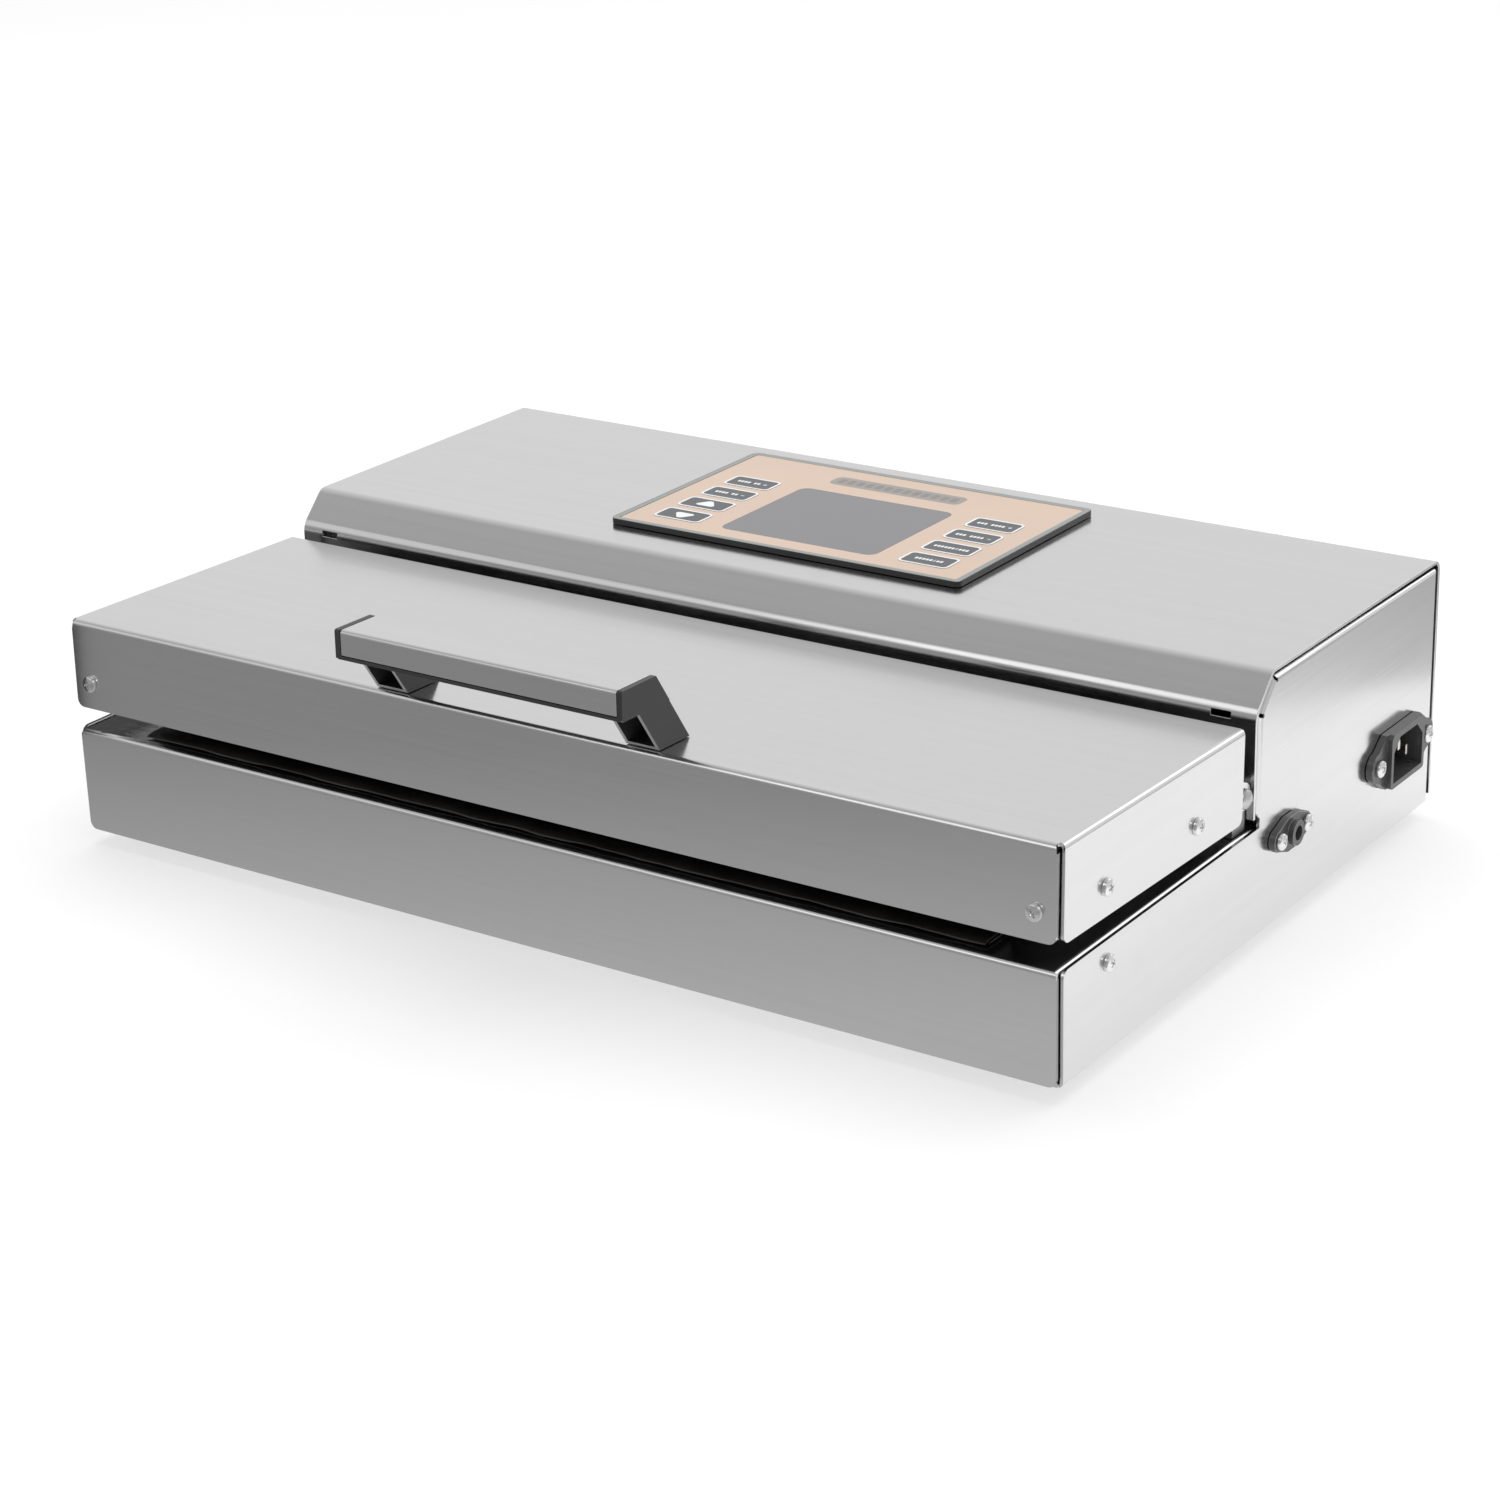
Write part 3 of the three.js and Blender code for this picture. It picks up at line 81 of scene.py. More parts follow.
# The marks on each key: # is a block, / a thin stroke, - and + are signs, and the rest is spacing.
KEY_MARKS = {
    "key_left_1": "down",
    "key_left_2": "up",
    "key_left_3": "####.## -",
    "key_left_4": "####.## +",
    "key_right_1": "#####/##",
    "key_right_2": "######/###",
    "key_right_3": "###.#### -",
    "key_right_4": "###.#### +",
}
MARK = {"pitch": 1.5 * MM, "width": 1.1 * MM, "height": 1.9 * MM, "stroke": 0.45 * MM}
BORDER_WIDTH = 2.3 * MM  # grey border round the copper film
STRIP = {"width": 59 * MM, "depth": 9.5 * MM, "corner": 3 * MM, "behind": 33.2 * MM, "marks": 13}

SCREWS = {
    "base_screw_left": ("base", "-x", 20),
    "base_screw_right": ("base", "x", 52),
    "lid_front_screw_left": ("lid", "-y", 8),
    "lid_front_screw_right": ("lid", "-y", 35),
    "lid_side_screw_front_left": ("lid", "-x", 61),
    "lid_side_screw_front_right": ("lid", "x", 14),
    "lid_side_screw_rear_left": ("lid", "-x", 40),
    "lid_side_screw_rear_right": ("lid", "x", 75),
    "inlet_screw_front": ("base", "x", 30),
    "inlet_screw_rear": ("base", "x", 5),
    "port_screw_front": ("base", "x", 66),
    "port_screw_rear": ("base", "x", 22),
}


# ---------------------------------------------------------------- shader nodes

class Shading:
    """One material's node tree, with short calls to add and join nodes."""

    def __init__(self, name):
        self.material = bpy.data.materials.new(name)
        self.material.use_nodes = True
        self.tree = self.material.node_tree
        self.tree.nodes.clear()
        self.surface = self.add("BsdfPrincipled")
        output = self.add("OutputMaterial")
        self.tree.links.new(self.surface.outputs["BSDF"], output.inputs["Surface"])
        self.place = self.add("TexCoord").outputs["Object"]

    def add(self, kind, inputs=None, **settings):
        made = self.tree.nodes.new("ShaderNode" + kind)
        for name, value in settings.items():
            setattr(made, name, value)
        for name, value in (inputs or {}).items():
            self.put(made.inputs[name], value)
        return made

    def put(self, socket, value):
        if isinstance(value, bpy.types.NodeSocket):
            self.tree.links.new(value, socket)
        else:
            socket.default_value = value

    def set(self, **values):
        """Sets or links the surface's own sockets, whose names have _ for spaces."""
        for name, value in values.items():
            self.put(self.surface.inputs[name.replace("_", " ")], value)

    def maths(self, operation, a, b=0.0):
        return self.add("Math", {0: a, 1: b}, operation=operation).outputs[0]

    def scaled(self, factors, vector=None):
        made = self.add("VectorMath", {0: vector or self.place, 1: factors}, operation="MULTIPLY")
        return made.outputs[0]

    def noise(self, vector, scale=1.0, detail=2.0, roughness=0.5):
        inputs = {"Vector": vector, "Scale": scale, "Detail": detail, "Roughness": roughness}
        return self.add("TexNoise", inputs).outputs["Fac"]

    def span(self, value, low, high, to_low, to_high):
        inputs = {"Value": value, 1: low, 2: high, 3: to_low, 4: to_high}
        return self.add("MapRange", inputs).outputs[0]

    def mix(self, factor, a, b):
        made = self.add("Mix", {0: factor, 6: a, 7: b}, data_type="RGBA")
        return made.outputs[2]

    def mix_vectors(self, factor, a, b):
        made = self.add("Mix", {0: factor, 4: a, 5: b}, data_type="VECTOR")
        return made.outputs[1]

    def bump(self, height, distance, strength=1.0, normal=None):
        inputs = {"Height": height, "Distance": distance, "Strength": strength}
        if normal is not None:
            inputs["Normal"] = normal
        return self.add("Bump", inputs).outputs["Normal"]


def grey(value, warm=0.0):
    return (value * (1 + warm), value, value * (1 - warm), 1.0)


def shade(colour, factor):
    return tuple(channel * factor for channel in colour[:3]) + (1.0,)


def brushed_steel(name, value=0.765, rough=0.17, streak=0.022):
    """Brushed stainless sheet. The grain runs along X, and along Y on faces that look sideways."""
    s = Shading(name)
    facing = s.add("SeparateXYZ", {0: s.tree.nodes["Texture Coordinate"].outputs["Normal"]}).outputs["X"]
    sideways = s.maths("GREATER_THAN", s.maths("ABSOLUTE", facing), 0.7)
    along, across = 14.0, 2400.0
    grain = s.mix_vectors(
        sideways, s.scaled((along, across, across)), s.scaled((across, along, across)))
    fine = s.noise(grain, 1.0, 3.0, 0.6)
    bands = s.noise(grain, 0.11, 2.0, 0.5)
    smears = s.noise(s.place, 9.0, 4.0, 0.55)
    spots = s.noise(s.place, 70.0, 3.0, 0.6)
    tone = s.maths("ADD", s.span(fine, 0.3, 0.7, 0.0, 0.5), s.span(bands, 0.3, 0.7, 0.0, 0.5))
    light, dark = grey(value * (1 + streak)), grey(value * (1 - streak))
    clean = s.mix(tone, dark, light)
    worn = s.mix(s.span(spots, 0.64, 0.78, 0.0, 0.2), clean, grey(value * 0.88, 0.01))
    roughness = s.maths("ADD", s.span(fine, 0.25, 0.75, rough - 0.05, rough + 0.05),
                        s.span(smears, 0.35, 0.7, -0.02, 0.05))
    s.set(Base_Color=worn, Metallic=1.0, Roughness=roughness)
    s.set(Normal=s.bump(fine, 0.008 * MM, 0.4))
    return s.material


def bright_metal(name, value, rough, warm=0.0, grain=900.0):
    """Turned or plated metal with fine scratches in every direction."""
    s = Shading(name)
    fine = s.noise(s.place, grain, 3.0, 0.6)
    broad = s.noise(s.place, grain * 0.12, 3.0, 0.5)
    colour = s.mix(s.span(broad, 0.3, 0.7, 0.0, 1.0), grey(value * 0.86, warm), grey(value, warm))
    s.set(Base_Color=colour, Metallic=1.0, Roughness=s.span(fine, 0.3, 0.7, rough - 0.06, rough + 0.08))
    s.set(Normal=s.bump(fine, 0.02 * MM, 0.4))
    return s.material


def moulded(name, colour, rough, grain=1500.0, depth=0.02, specular=0.5):
    """Moulded plastic or rubber with a fine spark-eroded grain and slight handling marks."""
    s = Shading(name)
    fine = s.noise(s.place, grain, 2.0, 0.6)
    broad = s.noise(s.place, 40.0, 3.0, 0.5)
    marks = s.noise(s.scaled((60.0, 400.0, 400.0)), 1.0, 3.0, 0.6)
    colours = s.mix(s.span(broad, 0.35, 0.65, 0.0, 1.0), shade(colour, 0.85), shade(colour, 1.15))
    scuffed = s.mix(s.span(marks, 0.66, 0.8, 0.0, 0.3), colours, shade(colour, 1.9))
    s.set(Base_Color=scuffed, Specular_IOR_Level=specular)
    s.set(Roughness=s.span(broad, 0.3, 0.7, rough - 0.05, rough + 0.07))
    s.set(Normal=s.bump(fine, depth * MM, 0.6))
    return s.material


def foam(name):
    """Closed-cell sponge rubber."""
    s = Shading(name)
    cells = s.add("TexVoronoi", {"Vector": s.place, "Scale": 1600.0}).outputs["Distance"]
    broad = s.noise(s.place, 120.0, 3.0, 0.5)
    tone = s.span(broad, 0.35, 0.65, 0.0, 1.0)
    s.set(Base_Color=s.mix(tone, grey(0.010), grey(0.022)), Specular_IOR_Level=0.35)
    s.set(Roughness=s.span(cells, 0.0, 0.6, 0.75, 0.95))
    s.set(Normal=s.bump(cells, 0.12 * MM, 0.7))
    return s.material


def woven(name, colour, pitch):
    """Glass cloth coated with smooth plastic, so that the weave shows softly."""
    s = Shading(name)
    turns = math.tau / pitch
    waves = []
    for axis in ("X", "Y"):
        part = s.add("SeparateXYZ", {0: s.place}).outputs[axis]
        waves.append(s.maths("SINE", s.maths("MULTIPLY", part, turns)))
    weave = s.maths("MULTIPLY", waves[0], waves[1])
    stains = s.noise(s.place, 60.0, 4.0, 0.6)
    colours = s.mix(s.span(stains, 0.35, 0.7, 0.0, 1.0), colour, shade(colour, 1.8))
    s.set(Base_Color=colours, Specular_IOR_Level=0.6)
    s.set(Roughness=s.span(stains, 0.3, 0.7, 0.28, 0.45))
    s.set(Normal=s.bump(weave, 0.03 * MM, 0.5))
    return s.material


def printed_film(name, colour, rough=0.42, specular=0.5, speckle=0.04):
    """Back-printed polyester film with a fine velvet finish."""
    s = Shading(name)
    fine = s.noise(s.place, 2600.0, 2.0, 0.6)
    broad = s.noise(s.place, 22.0, 3.0, 0.5)
    tone = s.maths("ADD", s.span(fine, 0.3, 0.7, 0.0, 0.5), s.span(broad, 0.3, 0.7, 0.0, 0.5))
    colours = s.mix(tone, shade(colour, 1 - speckle), shade(colour, 1 + speckle))
    s.set(Base_Color=colours, Specular_IOR_Level=specular)
    s.set(Roughness=s.span(fine, 0.3, 0.7, rough - 0.04, rough + 0.06))
    s.set(Normal=s.bump(fine, 0.006 * MM, 0.5))
    return s.material


def circuit(name):
    """Green solder mask over faint copper tracks."""
    s = Shading(name)
    tracks = s.add("TexBrick", {"Vector": s.place, "Scale": 260.0, "Mortar Size": 0.03,
                                "Color1": (0.012, 0.075, 0.030, 1), "Color2": (0.016, 0.095, 0.036, 1),
                                "Mortar": (0.040, 0.17, 0.070, 1)})
    broad = s.noise(s.place, 90.0, 3.0, 0.5)
    s.set(Base_Color=tracks.outputs["Color"], Coat_Weight=0.4)
    s.set(Roughness=s.span(broad, 0.3, 0.7, 0.3, 0.5))
    s.set(Normal=s.bump(tracks.outputs["Fac"], 0.03 * MM, 0.5))
    return s.material


def cast_metal(name):
    """Sand-blasted die casting."""
    s = Shading(name)
    fine = s.noise(s.place, 700.0, 4.0, 0.65)
    broad = s.noise(s.place, 30.0, 3.0, 0.5)
    s.set(Base_Color=s.mix(s.span(broad, 0.3, 0.7, 0.0, 1.0), grey(0.30), grey(0.42)), Metallic=1.0)
    s.set(Roughness=s.span(fine, 0.3, 0.7, 0.42, 0.62))
    s.set(Normal=s.bump(fine, 0.12 * MM, 0.6))
    return s.material


def windings(name):
    """Lacquered copper wire, wound in layers round the X axis."""
    s = Shading(name)
    part = s.add("SeparateXYZ", {0: s.place}).outputs["X"]
    turns = s.maths("ABSOLUTE", s.maths("SINE", s.maths("MULTIPLY", part, math.pi / (0.7 * MM))))
    broad = s.noise(s.place, 60.0, 3.0, 0.5)
    colours = s.mix(s.span(broad, 0.3, 0.7, 0.0, 1.0), (0.33, 0.085, 0.03, 1), (0.50, 0.15, 0.05, 1))
    s.set(Base_Color=colours, Metallic=0.85, Coat_Weight=0.5)
    s.set(Roughness=s.span(broad, 0.3, 0.7, 0.28, 0.4))
    s.set(Normal=s.bump(turns, 0.25 * MM, 0.8))
    return s.material


def silicone(name):
    """Milky clear hose."""
    s = Shading(name)
    haze = s.noise(s.place, 140.0, 3.0, 0.5)
    colours = s.mix(s.span(haze, 0.3, 0.7, 0.0, 1.0), (0.68, 0.72, 0.70, 1), (0.82, 0.85, 0.83, 1))
    s.set(Base_Color=colours, Subsurface_Weight=0.4, Transmission_Weight=0.35, IOR=1.41)
    s.set(Roughness=s.span(haze, 0.3, 0.7, 0.22, 0.38))
    s.set(Normal=s.bump(haze, 0.05 * MM, 0.4))
    return s.material


def pale_floor(name):
    s = Shading(name)
    broad = s.noise(s.place, 1.5, 2.0, 0.5)
    s.set(Base_Color=s.mix(broad, grey(0.48), grey(0.51)), Specular_IOR_Level=0.1)
    s.set(Roughness=0.85, Emission_Color=grey(1.0), Emission_Strength=0.52)
    return s.material


STEEL = brushed_steel("brushed_steel")
# Bevels along sheet edges are lighter than the sheet. This is partly the sheared edge's own finish and
# partly a painted highlight along each edge.
EDGE_FINISH_AND_HIGHLIGHT_STEEL = bright_metal("sheared_edge_and_highlight_steel", 0.86, 0.24, grain=1800.0)
PLATED = bright_metal("plated_screw_steel", 0.88, 0.19)
RIVET_STEEL = bright_metal("dull_rivet_steel", 0.58, 0.3)
# Lighter grey plastic for painted light: a highlight along rounded edges, and on the handle legs the
# reflection of the bright lid top.
PAINTED_HIGHLIGHT_PLASTIC = moulded("painted_highlight_plastic", grey(0.27), 0.25, depth=0.01)
DARK_STEEL = bright_metal("dull_zinc_steel", 0.34, 0.42, grain=500.0)
NICKEL = bright_metal("nickel_plate", 0.72, 0.22, warm=0.06)
ALLOY = bright_metal("heating_alloy_strip", 0.5, 0.35, warm=0.03)
BLACK = moulded("black_moulded_plastic", grey(0.028), 0.31)
SOCKET_GREY = moulded("glossy_socket_plastic", grey(0.075), 0.26, depth=0.01)
SATIN_BLACK = moulded("satin_handle_plastic", grey(0.035), 0.36, grain=1100.0, depth=0.02)
RUBBER = moulded("black_rubber", grey(0.016), 0.62, grain=600.0, depth=0.05, specular=0.35)
FOAM = foam("sponge_rubber")
TAPE = woven("coated_glass_cloth", (0.018, 0.016, 0.015, 1), 0.9 * MM)
COPPER_FILM = printed_film("copper_printed_film", (0.66, 0.51, 0.41, 1))
GREY_FILM = printed_film("grey_printed_film", (0.28, 0.30, 0.29, 1), rough=0.3)
KEY_FILM = printed_film("dark_grey_key_film", (0.105, 0.110, 0.118, 1))
WHITE_INK = printed_film("white_ink", (0.85, 0.87, 0.88, 1))
STRIP_INK = printed_film("taupe_ink", (0.33, 0.31, 0.295, 1), speckle=0.08)
STRIP_MARKS = printed_film("dark_taupe_ink", (0.25, 0.235, 0.225, 1), speckle=0.15)
LENS_FILM = printed_film("smoked_window", (0.19, 0.19, 0.2, 1), rough=0.2, speckle=0.02)
BOARD = circuit("green_circuit_board")
CAST = cast_metal("cast_aluminium")
COPPER_WIRE = windings("lacquered_copper_wire")
HOSE = silicone("milky_silicone")


# ---------------------------------------------------------------- mesh work

def finish_mesh(made, name, materials):
    """Turns a bmesh into a named object with smooth faces."""
    bmesh.ops.recalc_face_normals(made, faces=made.faces)
    mesh = bpy.data.meshes.new(name)
    made.to_mesh(mesh)
    made.free()
    mesh.polygons.foreach_set("use_smooth", [True] * len(mesh.polygons))
    for one in materials:
        mesh.materials.append(one)
    piece = bpy.data.objects.new(name, mesh)
    bpy.context.scene.collection.objects.link(piece)
    return piece


def rounded_outline(width, depth, corner, steps=7):
    """Corners of a rounded rectangle about the origin, anticlockwise."""
    points = []
    for quarter, (sx, sy) in enumerate(((1, 1), (-1, 1), (-1, -1), (1, -1))):
        for step in range(steps + 1):
            angle = math.radians(90) * (quarter + step / steps)
            x = sx * (width / 2 - corner) + corner * math.cos(angle)
            y = sy * (depth / 2 - corner) + corner * math.sin(angle)
            points.append((x, y))
    return points


def add_plate(made, outline, low, high, centre=(0.0, 0.0)):
    """Adds a flat closed plate with that outline to a bmesh."""
    rings = [[made.verts.new((x + centre[0], y + centre[1], z)) for x, y in outline] for z in (low, high)]
    made.faces.new(reversed(rings[0]))
    made.faces.new(rings[1])
    add_wall(made, *rings)


def add_wall(made, first, second):
    count = len(first)
    for i in range(count):
        j = (i + 1) % count
        made.faces.new((first[i], first[j], second[j], second[i]))


def add_ring(made, outer, inner, low, high, centre=(0.0, 0.0)):
    """Adds a flat closed ring between two outlines with as many points as each other."""
    def ring(outline, z):
        return [made.verts.new((x + centre[0], y + centre[1], z)) for x, y in outline]
    loops = [ring(outer, low), ring(outer, high), ring(inner, high), ring(inner, low)]
    for i, loop in enumerate(loops):
        add_wall(made, loop, loops[(i + 1) % len(loops)])


def turned(name, profile, materials, segments=48):
    """A turned piece round Z from (radius, height) points that start and end on the axis."""
    made = bmesh.new()
    rings = []
    for radius, height in profile:
        if radius < 1e-9:
            rings.append([made.verts.new((0, 0, height))])
            continue
        angles = (math.tau * i / segments for i in range(segments))
        ring = [made.verts.new((radius * math.cos(a), radius * math.sin(a), height)) for a in angles]
        rings.append(ring)
    for lower, upper in zip(rings, rings[1:]):
        for i in range(segments):
            j = (i + 1) % segments
            below, above = len(lower), len(upper)
            corners = [lower[i % below], lower[j % below], upper[j % above], upper[i % above]]
            made.faces.new(list(dict.fromkeys(corners)))
    return finish_mesh(made, name, materials)


def arc(centre, radius, start, end, steps):
    """Points on an arc in (radius, height), from one angle in degrees to another."""
    points = []
    for step in range(steps + 1):
        angle = math.radians(start + (end - start) * step / steps)
        points.append((centre[0] + radius * math.cos(angle), centre[1] + radius * math.sin(angle)))
    return points


def carve(piece, *tools):
    """Cuts the tools out of a piece and removes them."""
    for tool in tools:
        cut = piece.modifiers.new("cut", "BOOLEAN")
        cut.operation, cut.object, cut.solver = "DIFFERENCE", tool, "EXACT"
    result = bpy.data.meshes.new_from_object(piece.evaluated_get(bpy.context.evaluated_depsgraph_get()))
    piece.modifiers.clear()
    piece.data = result
    for tool in tools:
        bpy.data.objects.remove(tool)
    return piece


def soften(piece, width, segments=2, angle=32.0, edge_material=None):
    """Rounds a piece's sharp edges and keeps its flat faces flat to the light."""
    if edge_material is not None:
        piece.data.materials.append(edge_material)
    rounding = piece.modifiers.new("edges", "BEVEL")
    rounding.width, rounding.segments = width, segments
    rounding.limit_method, rounding.angle_limit = "ANGLE", math.radians(angle)
    rounding.use_clamp_overlap = True
    rounding.miter_outer = "MITER_ARC"
    if edge_material is not None:
        rounding.material = len(piece.data.materials) - 1
    piece.modifiers.new("normals", "WEIGHTED_NORMAL").keep_sharp = True


def dress(name, material, width=SHEET_EDGE, edge_material=None, segments=2):
    """Gives a CAD node its material, merged flat faces and rounded edges."""
    piece = NODES[name]
    mesh = piece.data
    if "custom_normal" in mesh.attributes:
        mesh.attributes.remove(mesh.attributes["custom_normal"])
    mesh.polygons.foreach_set("use_smooth", [True] * len(mesh.polygons))
    mesh.materials.clear()
    mesh.materials.append(material)
    weld = piece.modifiers.new("weld", "WELD")
    weld.merge_threshold = 0.002 * MM
    flat = piece.modifiers.new("flat_faces", "DECIMATE")
    flat.decimate_type, flat.angle_limit = "DISSOLVE", math.radians(0.5)
    soften(piece, width, segments, edge_material=edge_material)
    return piece


# ---------------------------------------------------------------- sheet, plastic and other CAD nodes

PAINTED_REFLECTION_FACING = {"forward": -0.5, "down": -0.3}  # which way the leg faces that get a painted reflection of the lid top face, at least
DARK_STEEL_NODES = (
    "hinge_bracket_left", "hinge_bracket_right", "pump_motor", "transformer_core", "release_valve",
)


def dress_nodes():
    # Their bevelled edges get the lighter edge steel, which is partly a painted highlight.
    for name in ("base_pan", "front_deck", "rear_cover", "vacuum_tray", "lid_shell", "lid_plate"):
        dress(name, STEEL, SHEET_EDGE, EDGE_FINISH_AND_HIGHLIGHT_STEEL)
    dress("handle_cover", STEEL, 0.25 * MM, EDGE_FINISH_AND_HIGHLIGHT_STEEL)
    for name in DARK_STEEL_NODES:
        dress(name, DARK_STEEL, MOULDED_EDGE)
    for name in ("seal_bar", "motor_fan"):
        dress(name, BLACK, MOULDED_EDGE)
    for name in ("inlet_socket", "vacuum_port"):
        # The sockets' rounded edges get the lighter plastic as a painted highlight.
        dress(name, SOCKET_GREY, 0.4 * MM, PAINTED_HIGHLIGHT_PLASTIC, segments=3)
    # Its rounded edges get the lighter plastic as a painted highlight. Leg faces that look forward and
    # down get it as a painted reflection of the lid top.
    handle = dress("handle_frame", SATIN_BLACK, 0.22 * MM, PAINTED_HIGHLIGHT_PLASTIC)
    for face in handle.data.polygons:
        if face.normal.y < PAINTED_REFLECTION_FACING["forward"] and face.normal.z < PAINTED_REFLECTION_FACING["down"]:
            face.material_index = 1
    dress("panel_bezel", BLACK, 0.25 * MM)
    dress("pressure_strip", RUBBER, 0.8 * MM, segments=3)
    for name in ("lower_gasket", "upper_gasket"):
        dress(name, FOAM, 0.7 * MM, segments=3)
    dress("heating_element", ALLOY, 0.05 * MM)
    for name in ("inlet_pin_earth", "inlet_pin_line", "inlet_pin_neutral"):
        dress(name, NICKEL, 0.35 * MM)
    dress("panel_overlay", COPPER_FILM, 0.05 * MM)
    for name in ("control_board", "power_board"):
        dress(name, BOARD, 0.15 * MM)
    dress("pump_body", CAST, 1.2 * MM, segments=3)
    dress("transformer_coil", COPPER_WIRE, 1.2 * MM, segments=3)
    for name in ("chamber_hose", "port_hose"):
        dress(name, HOSE, 0.2 * MM)


# ---------------------------------------------------------------- screws and pins

def outward(axis, tilt):
    """Turns a piece whose head looks along +Z to look along that axis, on a lid tilted by tilt."""
    turns = {
        "x": Matrix.Rotation(math.radians(90), 4, "Y"),
        "-x": Matrix.Rotation(math.radians(-90), 4, "Y"),
        "-y": Matrix.Rotation(math.radians(90), 4, "X"),
    }
    return Matrix.Rotation(-tilt, 4, "X") @ turns[axis]


def head_place(node, axis):
    """The middle of the outermost face of a screw's CAD node."""
    low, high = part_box(node)
    place = (low + high) / 2
    if axis == "x":
        place.x = high.x
    elif axis == "-x":
        place.x = low.x
    else:
        place.y = low.y
    return place


def recess_tool(size):
    """A cross-shaped tapered tool for a driver recess, as wide across as size."""
    tools = []
    for turn in (0, 90):
        made = bmesh.new()
        rings = []
        for depth, reach, half in ((0.4, 1.0, 0.12), (-0.16, 0.84, 0.11), (-0.4, 0.3, 0.07)):
            corners = ((reach, half), (-reach, half), (-reach, -half), (reach, -half))
            rings.append([made.verts.new((x * size / 2, y * size, depth * size)) for x, y in corners])
        made.faces.new(rings[0])
        made.faces.new(reversed(rings[-1]))
        for upper, lower in zip(rings, rings[1:]):
            add_wall(made, upper, lower)
        bmesh.ops.rotate(made, verts=made.verts, matrix=Matrix.Rotation(math.radians(turn), 3, "Z"))
        tools.append(finish_mesh(made, f"recess_tool_{turn}", []))
    return tools


def screw_profile(radius, head, length, shank):
    """Pan head with a crowned top and a threaded shank, outermost point at height 0."""
    crown = 1.75 * radius
    rim = 0.42 * head
    drop = crown - math.sqrt(crown ** 2 - (0.72 * radius) ** 2)
    profile = [(0.0, 0.0)]
    for step in range(1, 7):
        r = 0.72 * radius * step / 6
        profile.append((r, -(crown - math.sqrt(crown ** 2 - r ** 2))))
    shoulder = (0.72 * radius, -drop)
    for step in range(1, 6):
        angle = math.radians(90 * step / 5)
        r = shoulder[0] + 0.28 * radius * math.sin(angle)
        z = shoulder[1] - (head - rim - drop) * (1 - math.cos(angle))
        profile.append((r, z))
    profile += [(radius, -head + 0.08 * MM), (radius - 0.1 * MM, -head), (shank, -head)]
    thread = 0.5 * MM
    z = -head - thread
    while z > -length + thread:
        profile += [(shank * 0.84, z), (shank, z - thread * 0.45)]
        z -= thread
    profile += [(shank * 0.6, -length + 0.05 * MM), (0.0, -length)]
    return profile


def make_screws():
    for node, (body, axis, turn) in SCREWS.items():
        low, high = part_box(node)
        size = high - low
        across = sorted(size)[1]
        length = size.y if axis == "-y" else size.x
        radius = across / 2
        shank, head = 1.45 * MM, 2.15 * MM
        name = node.replace("screw", "phillips_screw")
        piece = turned(name, screw_profile(radius, head, length, shank), [PLATED], segments=40)
        tools = recess_tool(1.12 * radius)
        for tool in tools:
            tool.location.z = -0.2 * MM
        bpy.context.view_layer.update()
        carve(piece, *tools)
        piece.data.polygons.foreach_set("use_smooth", [True] * len(piece.data.polygons))
        soften(piece, 0.06 * MM, 1, angle=40)
        tilt = REST_TILT if body == "lid" else 0.0
        spin = Matrix.Rotation(math.radians(turn), 4, "Z")
        piece.matrix_world = Matrix.Translation(head_place(node, axis)) @ outward(axis, tilt) @ spin
        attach(piece, body)
        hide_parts(node)


def make_hinge_pins():
    """Shoulder rivets with a domed head that hold the lid's ears to the base's brackets."""
    for side, axis in (("left", "-x"), ("right", "x")):
        node = f"hinge_pin_{side}"
        low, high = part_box(node)
        length = high.x - low.x
        radius = (high.z - low.z) / 2
        head, shank = 2.05 * MM, 1.95 * MM
        dome = [(radius * math.sin(math.radians(a)), -head * 0.86 * (1 - math.cos(math.radians(a))))
                for a in range(0, 91, 9)]
        tail = [(radius - 0.12 * MM, -head), (shank, -head), (shank, -length + 0.4 * MM),
                (shank - 0.35 * MM, -length), (0.0, -length)]
        piece = turned(f"hinge_rivet_{side}", dome + tail, [RIVET_STEEL])
        soften(piece, 0.08 * MM, 2, angle=40)
        piece.matrix_world = Matrix.Translation(head_place(node, axis)) @ outward(axis, 0.0)
        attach(piece, "lid")
        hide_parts(node)


# ---------------------------------------------------------------- feet

FOOT_RECESS = {"radius": 3.9 * MM, "depth": 3.2 * MM, "corner": 0.3 * MM}
FOOT_ROUND = {"lip": 0.5 * MM, "sole": 1.1 * MM, "taper": 0.8 * MM}


